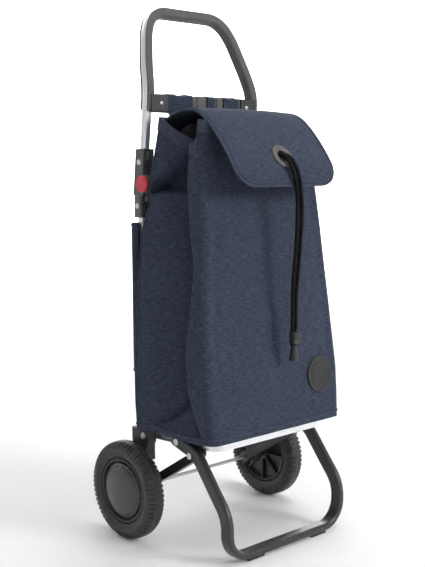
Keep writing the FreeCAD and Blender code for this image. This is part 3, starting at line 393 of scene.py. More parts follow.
def solidify(piece: bpy.types.Object, thickness: float, offset: float = -1.0) -> None:
    """Gives a sheet its thickness with a Solidify modifier.

    Args:
        piece: the sheet.
        thickness: its wall.
        offset: -1 puts the wall inward of its faces, 0 centres it.
    """
    wall = piece.modifiers.new("wall", "SOLIDIFY")
    wall.thickness = thickness
    wall.offset = offset
    wall.use_quality_normals = True


def closed(rows: Sequence[Array]) -> Array:
    """Adds a pole at each end of a row of rings: a ring drawn in to the end ring's middle.

    Args:
        rows: the rings, from end to end.

    Returns:
        The rings with the two poles.
    """
    rings = np.array(rows)
    poles = [np.broadcast_to(ring.mean(axis=0), ring.shape) for ring in (rings[0], rings[-1])]
    return np.stack([poles[0], *rings, poles[1]])


def bevelled_box(low: Sequence[float], high: Sequence[float], corner: float, name: str) -> bpy.types.Object:
    """A block with rounded edges: a rounded section carried along X with its ends drawn in.

    Args:
        low: lowest corner.
        high: highest corner.
        corner: rounding of the edges.
        name: the piece's name.

    Returns:
        The new piece.
    """
    least_corner = 0.0002
    low_corner, high_corner = np.array(low, float), np.array(high, float)
    middle = (low_corner + high_corner) / 2
    span = high_corner - low_corner
    angles = np.linspace(0, math.pi / 2, 5)
    inset = corner * (1 - np.sin(angles))
    push = corner * (1 - np.cos(angles))
    ends = zip(np.concatenate([low_corner[0] + push, high_corner[0] - push[::-1]]),
               np.concatenate([inset, inset[::-1]]))
    rows = []
    for x, pull in ends:
        outline = rounded_section(span[1] - 2 * pull, span[2] - 2 * pull, max(corner - pull, least_corner))
        rows.append(np.column_stack([np.full(len(outline), x), outline + middle[1:]]))
    return Shell().grid(closed(rows), close_columns=True).build(name, 50)


# ------------------------------------------------------------------ shader tools


class Graph:
    """Short calls for building a node tree."""

    def __init__(self, tree: bpy.types.NodeTree) -> None:
        """Keeps the tree."""
        self.tree = tree

    def add(self, kind: str, settings: Optional[dict] = None, **inputs: object) -> bpy.types.Node:
        """Adds a node, sets its properties and feeds its sockets.

        Args:
            kind: the node's type name without the ShaderNode prefix.
            settings: properties to set.
            inputs: socket names, with _ for spaces or i0, i1 for places; a socket is linked, a value is set.

        Returns:
            The node.
        """
        node = self.tree.nodes.new("ShaderNode" + kind)
        for name, value in (settings or {}).items():
            setattr(node, name, value)
        for name, value in inputs.items():
            place = int(name[1:]) if name[0] == "i" and name[1:].isdigit() else name.replace("_", " ")
            socket = node.inputs[place]
            if isinstance(value, bpy.types.NodeSocket):
                self.tree.links.new(value, socket)
            else:
                socket.default_value = value
        return node

    def math(self, operation: str, first: object, second: object = 0.0) -> bpy.types.NodeSocket:
        """A Math node's output for two values or sockets."""
        return self.add("Math", {"operation": operation}, i0=first, i1=second).outputs[0]

    def ramp(self, value: bpy.types.NodeSocket, stops: Sequence[tuple[float, Sequence[float]]]
             ) -> bpy.types.NodeSocket:
        """A colour ramp's colour for a value.

        Args:
            value: the factor.
            stops: (position, RGB) pairs, first to last.

        Returns:
            The colour socket.
        """
        node = self.add("ValToRGB", None, Fac=value)
        elements = node.color_ramp.elements
        while len(elements) < len(stops):
            elements.new(0.5)
        for element, (position, colour) in zip(elements, stops):
            element.position = position
            element.color = (*colour, 1.0)
        return node.outputs["Color"]

    def span(self, value: bpy.types.NodeSocket, low: float, high: float) -> bpy.types.NodeSocket:
        """A value from 0 to 1 stretched to run from low to high."""
        return self.add("MapRange", None, Value=value, To_Min=low, To_Max=high).outputs[0]


def new_group(name: str, inputs: Sequence[tuple[str, str, object]], outputs: Sequence[tuple[str, str]]
              ) -> tuple[bpy.types.NodeTree, Graph, bpy.types.Node, bpy.types.Node]:
    """Starts a shader node group with named sockets.

    Args:
        name: the group's name.
        inputs: (name, socket type, default) rows.
        outputs: (name, socket type) rows.

    Returns:
        The group, its graph, its input node and its output node.
    """
    tree = bpy.data.node_groups.new(name, "ShaderNodeTree")
    for label, kind, default in inputs:
        socket = tree.interface.new_socket(name=label, in_out="INPUT", socket_type="NodeSocket" + kind)
        if default is not None:
            socket.default_value = default
    for label, kind in outputs:
        tree.interface.new_socket(name=label, in_out="OUTPUT", socket_type="NodeSocket" + kind)
    graph = Graph(tree)
    return tree, graph, tree.nodes.new("NodeGroupInput"), tree.nodes.new("NodeGroupOutput")


def weave_group() -> bpy.types.NodeTree:
    """Woven melange cloth.

    Height is a plain weave: the product of two sine waves along the two thread directions, with uneven
    threads. Tone mixes two stretched noises, long along each thread direction, so that light and dark
    fibres run as streaks.

    Returns:
        The group, with inputs Vector and Threads per metre and outputs Height and Tone.
    """
    tree, graph, enter, leave = new_group(
        "cloth_weave", [("Vector", "Vector", None), ("Threads", "Float", 900.0)],
        [("Height", "Float"), ("Tone", "Float")])
    parts = graph.add("SeparateXYZ", None, Vector=enter.outputs["Vector"])
    pace = graph.math("MULTIPLY", enter.outputs["Threads"], math.pi)
    waves = []
    for index in (0, 1):
        phase = graph.math("MULTIPLY", parts.outputs[index], pace)
        waves.append(graph.math("SINE", phase))
    over = graph.math("MULTIPLY", waves[0], waves[1])
    stretch = []
    for scale in ((70.0, 680.0, 1.0), (800.0, 95.0, 1.0)):
        spread = graph.add("VectorMath", {"operation": "MULTIPLY"}, i0=enter.outputs["Vector"], i1=scale)
        noise = graph.add("TexNoise", None, Vector=spread.outputs[0], Scale=1.0, Detail=3.0, Roughness=0.65)
        stretch.append(noise.outputs[0])
    weft = graph.math("MULTIPLY", stretch[0], 0.58)
    warp = graph.math("MULTIPLY", stretch[1], 0.42)
    tone = graph.math("ADD", weft, warp)
    height = graph.math("ADD", graph.math("MULTIPLY", over, 0.5), tone)
    tree.links.new(height, leave.inputs["Height"])
    tree.links.new(tone, leave.inputs["Tone"])
    return tree


def grain_group() -> bpy.types.NodeTree:
    """Moulded grain: fine noise on broad noise, for bump and for an uneven sheen.

    Returns:
        The group, with inputs Vector and Scale and outputs Height and Patch.
    """
    tree, graph, enter, leave = new_group(
        "moulded_grain", [("Vector", "Vector", None), ("Scale", "Float", 1500.0)],
        [("Height", "Float"), ("Patch", "Float")])
    where = enter.outputs["Vector"]
    fine = graph.add("TexNoise", None, Vector=where, Scale=enter.outputs["Scale"], Detail=2.0)
    broad = graph.add("TexNoise", None, Vector=where, Scale=26.0, Detail=4.0, Roughness=0.6)
    tree.links.new(fine.outputs[0], leave.inputs["Height"])
    tree.links.new(broad.outputs[0], leave.inputs["Patch"])
    return tree


def dust_group() -> bpy.types.NodeTree:
    """Floor dust and scuffs: strongest at the floor and fading upward, broken up by noise.

    Returns:
        The group, with inputs Vector, Reach (metres) and Amount and output Mask.
    """
    tree, graph, enter, leave = new_group(
        "floor_dust", [("Vector", "Vector", None), ("Reach", "Float", 0.25), ("Amount", "Float", 0.3)],
        [("Mask", "Float")])
    rise = graph.add("SeparateXYZ", None, Vector=enter.outputs["Vector"]).outputs["Z"]
    fade = graph.add("MapRange", None, Value=rise, From_Min=0.0, From_Max=enter.outputs["Reach"], To_Min=1.0,
                     To_Max=0.0).outputs[0]
    speck = graph.add("TexNoise", None, Vector=enter.outputs["Vector"], Scale=70.0, Detail=6.0, Roughness=0.7)
    broken = graph.math("MULTIPLY", fade, speck.outputs[0])
    tree.links.new(graph.math("MULTIPLY", broken, enter.outputs["Amount"]), leave.inputs["Mask"])
    return tree


class Effects:
    """The shared node groups, each built once."""

    def __init__(self) -> None:
        """Builds every group."""
        self.weave = weave_group()
        self.grain = grain_group()
        self.dust = dust_group()

    def place(self, graph: Graph, tree: bpy.types.NodeTree, **inputs: object) -> bpy.types.Node:
        """Puts a group into a material.

        Args:
            graph: the material's graph.
            tree: the group.
            inputs: its sockets.

        Returns:
            The group node.
        """
        node = graph.tree.nodes.new("ShaderNodeGroup")
        node.node_tree = tree
        for name, value in inputs.items():
            if isinstance(value, bpy.types.NodeSocket):
                graph.tree.links.new(value, node.inputs[name])
            else:
                node.inputs[name].default_value = value
        return node


EFFECTS = Effects()
Colour = tuple[float, float, float]


def blank_material(name: str) -> tuple[bpy.types.Material, Graph, bpy.types.Node]:
    """A material with only a Principled shader and its output.

    Args:
        name: the material's name.

    Returns:
        The material, its graph and the shader node.
    """
    material = bpy.data.materials.new(name)
    material.use_nodes = True
    material.node_tree.nodes.clear()
    graph = Graph(material.node_tree)
    shader = graph.add("BsdfPrincipled")
    out = graph.add("OutputMaterial")
    material.node_tree.links.new(shader.outputs[0], out.inputs["Surface"])
    return material, graph, shader


def object_place(graph: Graph) -> bpy.types.NodeSocket:
    """Object coordinates."""
    return graph.add("TexCoord").outputs["Object"]


def cloth_place(graph: Graph) -> bpy.types.NodeSocket:
    """The piece's own UV map, in metres."""
    return graph.add("UVMap", {"uv_map": "Cloth"}).outputs["UV"]


@dataclass(frozen=True)
class ClothFinish:
    """Woven melange cloth: dark and light threads, sheen and a fine weave."""

    name: str
    dark: Colour
    light: Colour
    threads: float = 900.0
    bump: float = 0.2

    def make(self) -> bpy.types.Material:
        """Builds the material.

        Returns:
            The material.
        """
        material, graph, shader = blank_material(self.name)
        weave = EFFECTS.place(graph, EFFECTS.weave, Vector=cloth_place(graph), Threads=self.threads)
        middle = tuple((a + b) / 2 for a, b in zip(self.dark, self.light))
        colour = graph.ramp(weave.outputs["Tone"], [(0.35, self.dark), (0.5, middle), (0.65, self.light)])
        patch = EFFECTS.place(graph, EFFECTS.grain, Vector=object_place(graph), Scale=1200.0)
        shade = graph.span(patch.outputs["Patch"], 0.86, 1.12)
        mixed = graph.add("VectorMath", {"operation": "SCALE"}, i0=colour, Scale=shade)
        graph.tree.links.new(mixed.outputs[0], shader.inputs["Base Color"])
        graph.tree.links.new(graph.span(weave.outputs["Tone"], 0.98, 0.72), shader.inputs["Roughness"])
        bump = graph.add("Bump", None, Strength=self.bump, Distance=0.0006, Height=weave.outputs["Height"])
        graph.tree.links.new(bump.outputs[0], shader.inputs["Normal"])
        shader.inputs["Specular IOR Level"].default_value = 0.2
        shader.inputs["Sheen Weight"].default_value = 0.06
        shader.inputs["Sheen Roughness"].default_value = 0.45
        shader.inputs["Sheen Tint"].default_value = (0.75, 0.82, 1.0, 1.0)
        return material


@dataclass(frozen=True)
class PlasticFinish:
    """Moulded plastic or rubber: fine grain, an uneven sheen and floor dust."""

    name: str
    colour: Colour
    roughness: float = 0.5
    grain: float = 1500.0
    bump: float = 0.12
    coat: float = 0.0
    dust: float = 0.25

    def make(self) -> bpy.types.Material:
        """Builds the material.

        Returns:
            The material.
        """
        material, graph, shader = blank_material(self.name)
        where = object_place(graph)
        grain = EFFECTS.place(graph, EFFECTS.grain, Vector=where, Scale=self.grain)
        dust = EFFECTS.place(graph, EFFECTS.dust, Vector=where, Amount=self.dust)
        low = tuple(part * 0.85 for part in self.colour)
        high = tuple(min(part * 1.2, 1.0) for part in self.colour)
        colour = graph.ramp(grain.outputs["Patch"], [(0.3, low), (0.7, high)])
        mixed = graph.add("Mix", {"data_type": "RGBA"}, Factor=dust.outputs["Mask"])
        graph.tree.links.new(colour, mixed.inputs[6])
        mixed.inputs[7].default_value = (0.20, 0.19, 0.18, 1.0)
        graph.tree.links.new(mixed.outputs[2], shader.inputs["Base Color"])
        rough = graph.span(grain.outputs["Patch"], self.roughness - 0.07, self.roughness + 0.1)
        graph.tree.links.new(rough, shader.inputs["Roughness"])
        bump = graph.add("Bump", None, Strength=self.bump, Distance=0.0004, Height=grain.outputs["Height"])
        graph.tree.links.new(bump.outputs[0], shader.inputs["Normal"])
        shader.inputs["Coat Weight"].default_value = self.coat
        return material


@dataclass(frozen=True)
class MetalFinish:
    """Brushed or plated metal: streaks drawn along one axis."""

    name: str
    colour: Colour
    roughness: float
    streaks: Colour = (900.0, 900.0, 12.0)
    bump: float = 0.08

    def make(self) -> bpy.types.Material:
        """Builds the material.

        Returns:
            The material.
        """
        material, graph, shader = blank_material(self.name)
        where = object_place(graph)
        spread = graph.add("VectorMath", {"operation": "MULTIPLY"}, i0=where, i1=self.streaks)
        streak = graph.add("TexNoise", None, Vector=spread.outputs[0], Scale=1.0, Detail=3.0, Roughness=0.6)
        patch = EFFECTS.place(graph, EFFECTS.grain, Vector=where, Scale=600.0)
        low = tuple(part * 0.88 for part in self.colour)
        colour = graph.ramp(streak.outputs[0], [(0.3, low), (0.7, self.colour)])
        graph.tree.links.new(colour, shader.inputs["Base Color"])
        both = graph.math("ADD", graph.math("MULTIPLY", streak.outputs[0], 0.6),
                          graph.math("MULTIPLY", patch.outputs["Patch"], 0.4))
        graph.tree.links.new(graph.span(both, self.roughness - 0.08, self.roughness + 0.12),
                             shader.inputs["Roughness"])
        bump = graph.add("Bump", None, Strength=self.bump, Distance=0.0003, Height=streak.outputs[0])
        graph.tree.links.new(bump.outputs[0], shader.inputs["Normal"])
        shader.inputs["Metallic"].default_value = 1.0
        return material


@dataclass(frozen=True)
class BraidFinish:
    """Braided cord: crossing diagonal strands along the cord's own UV map, coloured darker in the grooves
    between strands as painted shade.
    """

    name: str
    dark: Colour
    light: Colour
    pitch: float = 0.004

    def make(self) -> bpy.types.Material:
        """Builds the material.

        Returns:
            The material.
        """
        material, graph, shader = blank_material(self.name)
        parts = graph.add("SeparateXYZ", None, Vector=cloth_place(graph))
        pace = math.tau / self.pitch
        waves = []
        for operation in ("ADD", "SUBTRACT"):
            slant = graph.math(operation, parts.outputs[0], parts.outputs[1])
            waves.append(graph.math("SINE", graph.math("MULTIPLY", slant, pace)))
        height = graph.math("MAXIMUM", *waves)
        # Painted shade: the colour follows the braid's height, dark in the grooves between strands and
        # lighter on the strands' crests.
        tone = graph.span(height, 0.0, 1.0)
        colour = graph.ramp(tone, [(0.2, self.dark), (0.9, self.light)])
        graph.tree.links.new(colour, shader.inputs["Base Color"])
        bump = graph.add("Bump", None, Strength=0.6, Distance=0.0006, Height=height)
        graph.tree.links.new(bump.outputs[0], shader.inputs["Normal"])
        shader.inputs["Roughness"].default_value = 0.85
        shader.inputs["Specular IOR Level"].default_value = 0.15
        return material


class Finish(Enum):
    """Every finish on the trolley."""

    CLOTH = ClothFinish("bag_melange", (0.005, 0.009, 0.021), (0.066, 0.080, 0.124))
    LINING = ClothFinish("collar_lining", (0.035, 0.035, 0.038), (0.10, 0.10, 0.105), 1400.0, 0.2)
    BINDING = ClothFinish("edge_binding", (0.014, 0.019, 0.036), (0.085, 0.10, 0.145), 1600.0, 0.25)
    THREAD = PlasticFinish("sewing_thread", (0.045, 0.055, 0.085), 0.7, 3000.0, 0.2, 0.0, 0.0)
    RUBBER = PlasticFinish("tyre_rubber", (0.016, 0.016, 0.017), 0.5, 900.0, 0.2, 0.0, 0.16)
    HUB = PlasticFinish("hub_plastic", (0.018, 0.018, 0.019), 0.38, 1500.0, 0.1, 0.0, 0.12)
    CAP = PlasticFinish("cap_polished", (0.014, 0.014, 0.015), 0.24, 800.0, 0.02, 0.3, 0.04)
    GRIP = PlasticFinish("grip_rubber", (0.070, 0.070, 0.068), 0.6, 2600.0, 0.25, 0.0, 0.0)
    CASING = PlasticFinish("casing_plastic", (0.070, 0.070, 0.068), 0.42, 2200.0, 0.18, 0.0, 0.0)
    BLACK = PlasticFinish("black_plastic", (0.016, 0.016, 0.017), 0.42, 1500.0, 0.12, 0.0, 0.1)
    COAT = PlasticFinish("powder_coat", (0.017, 0.017, 0.018), 0.34, 1300.0, 0.12, 0.15, 0.1)
    BUTTON = PlasticFinish("button_red", (0.62, 0.022, 0.045), 0.32, 1200.0, 0.05, 0.3, 0.0)
    EYELET = PlasticFinish("eyelet_plastic", (0.09, 0.088, 0.084), 0.48, 1800.0, 0.1, 0.0, 0.0)
    BADGE = PlasticFinish("badge_plastic", (0.014, 0.014, 0.014), 0.42, 1800.0, 0.1, 0.0, 0.0)
    BOARD = PlasticFinish("board_plastic", (0.03, 0.03, 0.034), 0.6, 1500.0, 0.15, 0.0, 0.0)
    ALUMINIUM = MetalFinish("anodised_aluminium", (0.93, 0.935, 0.94), 0.34)
    BAND = MetalFinish("tray_aluminium", (0.82, 0.83, 0.85), 0.26, (12.0, 12.0, 1400.0), 0.25)
    STEEL = MetalFinish("plated_steel", (0.62, 0.62, 0.64), 0.28, (8.0, 700.0, 700.0))
    CORD = BraidFinish("cord_braid", (0.002, 0.002, 0.002), (0.014, 0.014, 0.015))


MATERIALS: dict[Finish, bpy.types.Material] = {}


def finish_of(finish: Finish) -> bpy.types.Material:
    """The finish's material, built the first time it is asked for."""
    if finish not in MATERIALS:
        MATERIALS[finish] = finish.value.make()
    return MATERIALS[finish]


def dress(piece: bpy.types.Object, finish: Finish) -> bpy.types.Object:
    """Gives a piece one finish in place of whatever it had."""
    piece.data.materials.clear()
    piece.data.materials.append(finish_of(finish))
    return piece


def settle(piece: bpy.types.Object, body: str, finish: Finish,
           replaces: Iterable[str] = ()) -> bpy.types.Object:
    """Finishes a new piece: its material, its body and the nodes that it stands for.

    Args:
        piece: the new piece.
        body: the body it moves with.
        finish: its finish.
        replaces: nodes that it stands for.

    Returns:
        The piece.
    """
    dress(piece, finish)
    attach(piece, body)
    if replaces:
        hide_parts(*replaces)
    LOG.info("%s rides on %s with %d faces", piece.name, body, len(piece.data.polygons))
    return piece


def crumple(piece: bpy.types.Object) -> None:
    """Gives the piece its own copy of its mesh.

    Args:
        piece: the piece of cloth, or a piece on it.
    """
    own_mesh(piece)


# ------------------------------------------------------------------ bag


# The bag's sewn pattern: share of its height, half width, and Y of its front.
BAG_PATTERN = (
    (0.00, 0.1755, -0.1455),
    (0.09, 0.1795, -0.1400),
    (0.18, 0.1805, -0.1355),
    (0.32, 0.1770, -0.1250),
    (0.46, 0.1722, -0.1160),
    (0.65, 0.1630, -0.1050),
    (0.80, 0.1550, -0.0955),
    (1.00, 0.1430, -0.0830),
)


# Height and Y of the bag's back: against the mast, then forward of the fold joints.
BACK_LINE = ((0.59, 0.0755), (0.64, 0.0570), (0.70, 0.0570), (0.80, 0.0440))

# Height and Y of the line on each side where the front strip ends and the gusset begins.
STRIP_LINE = (
    (0.235, -0.112),
    (0.310, -0.080),
    (0.387, -0.074),
    (0.460, -0.080),
    (0.540, -0.083),
    (0.600, -0.067),
    (0.670, -0.053),
    (0.710, -0.049),
    (0.800, -0.052),
)


def line_at(line: Sequence[tuple[float, float]], z: Array) -> Array:
    """The value at each height on a line of (height, value) points."""
    heights, values = np.transpose(line)
    return np.interp(z, heights, values)


@dataclass
class Bag:
    """The tall cloth bag: a sewn shell with a folded gusset on each side, its collar, sleeve and loops.

    Attributes:
        wall: thickness of the cloth.
        corner: round of the front's upright corners.
        rear_corner: round of the back's upright corners.
        gusset: how far the sides fold in.
        pocket: how much further they fold in near the mouth.
        strip: how far the front strip stands in from the width.
        crease: distance from the strip's edge to the crease behind it.
        triangle_low: height where the flat triangle low on the side starts.
        triangle_tall: height over which that triangle goes in by one gusset.
        pocket_low: height where the pocket near the mouth starts.
        rows: rows of points from the floor to the mouth.
    """

    wall: float = 0.0022
    corner: float = 0.020
    rear_corner: float = 0.010
    gusset: float = 0.054
    pocket: float = 0.044
    strip: float = 0.003
    crease: float = 0.013
    triangle_low: float = 0.226
    triangle_tall: float = 0.083
    pocket_low: float = 0.667
    rows: int = 190

    def __post_init__(self) -> None:
        """Reads the bag's place from the frame, and its sewn pattern's widths and fronts."""
        low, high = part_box("bag_body")
        self.base = low.z
        self.rim = high.z
        self.shares, self.halves, self.fronts = np.transpose(BAG_PATTERN)

    def across(self, z: Array, values: Array) -> Array:
        """One of the pattern's columns, such as its half width, at each height."""
        return np.interp(z, self.base + (self.rim - self.base) * self.shares, values)

    def fold(self, y: Array, z: Array) -> Array:
        """How far a side is folded in.

        A slope runs from the rear corner in to a crease behind the front strip. Low down a flat triangle
        cuts it off, with a soft ridge where they meet. Near the mouth the side tucks in further, below a
        diagonal.

        Args:
            y: place along the side.
            z: height.

        Returns:
            The inward distance.
        """
        edge = line_at(STRIP_LINE, z)
        crease = edge + self.crease
        rear = line_at(BACK_LINE, z) - 0.012
        slope = np.clip((rear - y) / (rear - crease), 0, 1) ** 1.9
        step = smooth(0.0, 1.0, (y - edge) / (crease - edge))
        depth = self.gusset * (0.96 + 0.10 * np.sin(z * 21.0 + 1.0))
        inward = np.where(y > crease, depth * slope, self.strip + (depth - self.strip) * step)
        inward = np.where(y < edge, self.strip, inward)
        triangle = np.clip((z - self.triangle_low) / self.triangle_tall, 0, 3) * self.gusset
        folded = soft_min(inward, triangle, 0.0008)
        ridge = np.exp(-(((inward - triangle) / 0.0035) ** 2)) * smooth(0.002, 0.012, inward)
        folded = np.maximum(folded + 0.011 * ridge, 0)
        diagonal = 0.066 - (z - self.pocket_low) * 1.20
        inside = smooth(-0.004, 0.012, diagonal - y) * smooth(-0.006, 0.004, y - crease)
        return folded + self.pocket * inside * smooth(self.pocket_low - 0.004, self.pocket_low + 0.006, z)

    def outline(self) -> tuple[Array, Array, Array, Array, Array]:
        """Places round the bag: four sides and four corners, from the left flank's back by way of the front.

        A place lies at X = across times the half width plus x, and Y = ahead times the front plus
        (1 - ahead) times the back plus y.

        Returns:
            Side number, across, x, ahead and y. The sides are 0 left, 1 front, 2 right and 3 back, and 10 to
            13 are the corner after each.
        """
        front, rear = self.corner, self.rear_corner
        arc = np.linspace(0, math.pi / 2, 8)[1:-1]
        cosine, sine = np.cos(arc), np.sin(arc)
        flank, face, back = (np.linspace(0, 1, count) for count in (72, 44, 16))
        stretches = (
            (0, -1, 0, flank, flank * front - (1 - flank) * rear),
            (10, -1, front * (1 - cosine), 1, front * (1 - sine)),
            (1, 2 * face - 1, front * (1 - 2 * face), 1, 0),
            (11, 1, front * (sine - 1), 1, front * (1 - cosine)),
            (2, 1, 0, 1 - flank, (1 - flank) * front - flank * rear),
            (12, 1, rear * (cosine - 1), 0, rear * (sine - 1)),
            (3, 1 - 2 * back, rear * (2 * back - 1), 0, 0),
            (13, -1, rear * (1 - sine), 0, rear * (cosine - 1)),
        )
        return tuple(np.hstack(column) for column in zip(*(np.broadcast_arrays(*row) for row in stretches)))

    def top_edge(self, side: Array, y: Array) -> Array:
        """Height of the mouth's hem: level at front and back, dipping along each side."""
        dip = smooth(0.044, -0.05, y) * 0.040 * smooth(-0.083, -0.060, y)
        return self.rim + 0.008 * smooth(0.005, 0.038, y) - np.where((side == 0) | (side == 2), dip, 0.0)

    def shell_points(self, inset: float = 0.0) -> tuple[Array, Array]:
        """The bag's surface as rows from the floor to the hem.

        Args:
            inset: how far inside the outer face.

        Returns:
            The points, and their UV in metres.
        """
        side, across, shift_x, ahead, shift_y = self.outline()
        level = np.linspace(0, 1, self.rows)[:, None] ** 0.96
        z = self.base + (self.rim - self.base) * level * np.ones(len(side))
        for _ in range(2):
            width = self.across(z, self.halves) - inset
            x = across * width + shift_x
            front = self.across(z, self.fronts) + inset
            back = line_at(BACK_LINE, z) - inset
            y = ahead * front + (1 - ahead) * back + shift_y
            z = self.base + (self.top_edge(np.broadcast_to(side, z.shape), y) - self.base) * level
        flank = (side == 0) | (side == 2)
        x -= np.sign(x) * self.fold(y, z) * flank
        x, y, z = self.soften(x, y, z, width, flank, (side == 1) | (side == 10) | (side == 11))
        step = np.linalg.norm(np.diff(np.stack([x, y], 2), axis=1), axis=2)
        around = np.zeros_like(z)
        around[:, 1:] = np.cumsum(step, axis=1)
        return np.stack([x, y, z], axis=2), np.stack([around - around.mean(axis=1)[:, None], z], axis=2)

    def soften(self, x: Array, y: Array, z: Array, width: Array, flank: Array, face: Array
               ) -> tuple[Array, Array, Array]:
        """Slack in the cloth.

        The front swells between its corners, hangs in upright folds and has a soft line inside each corner.
        The sides ripple. The floor droops at the back and is drawn up at the front corners.

        Args:
            x: place across.
            y: place along.
            z: height.
            width: half width at that height.
            flank: where a side is.
            face: where the front and its corners are.

        Returns:
            The three coordinates, softened.
        """
        crown = np.clip(1 - (x / width) ** 2, 0, 1) * np.sin(np.clip((z - self.base) / 0.52, 0, 1) * math.pi)
        y = y + face * (-0.0035 * crown + 0.0016 * ripple(x * 1.6, z * 0.5, 5, 8, 60.0))
        y += face * 0.0022 * np.sin(x * 46 + 1.2) * smooth(0.60, 0.35, z) * crown
        y += face * 0.0035 * np.exp(-(((np.abs(x) - width + 0.030) / 0.012) ** 2)) * smooth(0.25, 0.32, z)
        x = x + np.sign(x) * flank * (0.0016 * ripple(y * 1.2, z, 11, 8, 70.0))
        sag = smooth(0.30, self.base, z)
        z = z + sag * (-0.0045 * smooth(0.0, 0.07, y) + 0.004 * smooth(-0.09, -0.14, y))
        return x, y, z

    def make_shell(self) -> bpy.types.Object:
        """The sewn outer shell with its floor.

        The floor is the lowest row drawn in to the middle in five rings.

        Returns:
            The piece.
        """
        points, uv = self.shell_points()
        lowest = points[0]
        middle = lowest.mean(axis=0)
        shares = np.array([0.03, 0.4, 0.75, 0.95, 0.992])[:, None, None]
        floor = middle + (lowest - middle) * shares
        floor[..., 2] = lowest[None, :, 2] + 0.0015 * (1 - shares[..., 0])
        whole_uv = np.vstack([floor[..., :2], uv])
        shell = Shell().grid(np.vstack([floor, points]), close_columns=True, uv=whole_uv)
        piece = shell.build("bag_shell", 75)
        solidify(piece, self.wall)
        return piece

    def make_hem(self) -> bpy.types.Object:
        """A turned hem round the mouth: a flat ring just outside the cloth."""
        proud = np.array([0, 0, 0.0006])
        outer, _ = self.shell_points(-0.0012)
        inner, _ = self.shell_points(0.0035)
        rows = [*outer[[-9, -8, -5, -2]], outer[-1] + proud, inner[-1] + proud, inner[-5]]
        return Shell().grid(np.array(rows), close_columns=True).build("bag_hem", 60)

    def make_collar(self) -> bpy.types.Object:
        """The gathered lining collar inside the mouth: the outline drawn in, with even gathers.

        Returns:
            The piece.
        """
        points, _ = self.shell_points(0.012)
        base = points[-24]
        middle = base.mean(axis=0)
        spoke = base - middle
        around = np.arctan2(spoke[:, 1], spoke[:, 0])
        rows = []
        for share in np.linspace(0, 1, 12):
            gather = 1 - 0.30 * share**1.5 + 0.030 * share * np.sin(around * 22)
            row = middle + spoke * gather[:, None]
            row[:, 2] = self.rim - 0.060 + share * 0.052 + 0.004 * share * np.sin(around * 9 + 1)
            rows.append(row)
        piece = Shell().grid(np.array(rows), close_columns=True).build("bag_collar", 80)
        solidify(piece, 0.0012)
        return piece

    def make_seams(self) -> bpy.types.Object:
        """Raised seams: along the base and up both rear corners, as thin welts that follow the shell.

        Returns:
            The piece.
        """
        points, _ = self.shell_points(-0.0006)
        side = self.outline()[0]
        shell = Shell()
        welt = rounded_section(0.0030, 0.0022, 0.0010, 3)
        around = points[3]
        loop = np.vstack([around, around[:1]])
        shell.tube(resample(loop, 420), welt, (0, 0, 1), caps=False)
        for column in (int(np.argmax(side == 0)), int(len(side) - 1 - np.argmax(side[::-1] == 2))):
            shell.tube(resample(points[2:-1, column], 160), welt, (1, 0, 0))
        return shell.build("bag_seams", 60)

    def make(self) -> None:
        """Builds every piece of the bag and joins it to the frame's body."""
        shell = self.make_shell()
        settle(shell, "frame", Finish.CLOTH, ["bag_body"])
        crumple(shell)
        for piece, finish in ((self.make_hem(), Finish.BINDING), (self.make_collar(), Finish.LINING),
                              (self.make_seams(), Finish.BINDING)):
            settle(piece, "frame", finish)
            crumple(piece)


@dataclass
class Sleeve:
    """The rear sleeve: a flat cloth panel round the back of the mast tubes, with a hem at each end.

    Attributes:
        wall: thickness of the cloth.
        tube: depth of the mast's tube, which it goes round.
        corner: round of its rear corners.
        wrap: how far it comes forward at the sides.
    """

    wall: float = 0.0018
    tube: float = 0.0160
    corner: float = 0.010
    wrap: float = 0.0205

    def row(self, share: float) -> tuple[Array, Array]:
        """One level of the panel: the left edge and corner, the back, and their mirror image.

        Args:
            share: 0 at its lower edge, 1 at its upper edge.

        Returns:
            The row's points, and their UV in metres.
        """
        low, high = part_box("rear_sleeve")
        mast_low, mast_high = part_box("mast_right")
        half = high.x - 0.0015
        r = self.corner
        z = low.z + share * (high.z - low.z)
        lean = (z - mast_low.z) / (mast_high.z - mast_low.z)
        tube_back = mast_low.y + self.tube + lean * (mast_high.y - mast_low.y - self.tube)
        back = tube_back + 0.0012
        angles = np.linspace(0, math.pi / 2, 7)
        edge = [(-half + 0.006 * (1 - share * 0.4), tube_back - self.wrap)]
        corner = np.column_stack([r - half - r * np.cos(angles), back - r + r * np.sin(angles)])
        left = np.vstack([edge, corner])
        across = np.linspace(-half + r, half - r, 44)[1:-1]
        middle = np.column_stack([across, back + 0.0009 * ripple(across * 2, np.full_like(across, z), 3)])
        outline = np.vstack([left, middle, left[::-1] * [-1, 1]])
        steps = np.concatenate([[0], np.cumsum(np.linalg.norm(np.diff(outline, axis=0), axis=1))])
        level = np.full(len(outline), z)
        return np.column_stack([outline, level]), np.column_stack([steps, level])

    def make(self) -> None:
        """Builds the panel as a C-shaped section carried up the mast, and its hems."""
        rows, uv = zip(*(self.row(share) for share in np.linspace(0, 1, 70)))
        panel = Shell().grid(np.array(rows), uv=np.array(uv), flip=True).build("rear_sleeve_cloth", 60)
        solidify(panel, self.wall, 0.0)
        settle(panel, "frame", Finish.CLOTH, ["rear_sleeve"])
        hems = Shell()
        welt = rounded_section(0.0034, 0.0044, 0.0014, 3)
        for index, thickness in ((1, 1.0), (4, 0.28), (-2, 1.0), (-5, 0.28)):
            hems.tube(resample(rows[index], 160), welt * thickness, (0, 0, 1))
        edging = settle(hems.build("rear_sleeve_hems", 60), "frame", Finish.BINDING)


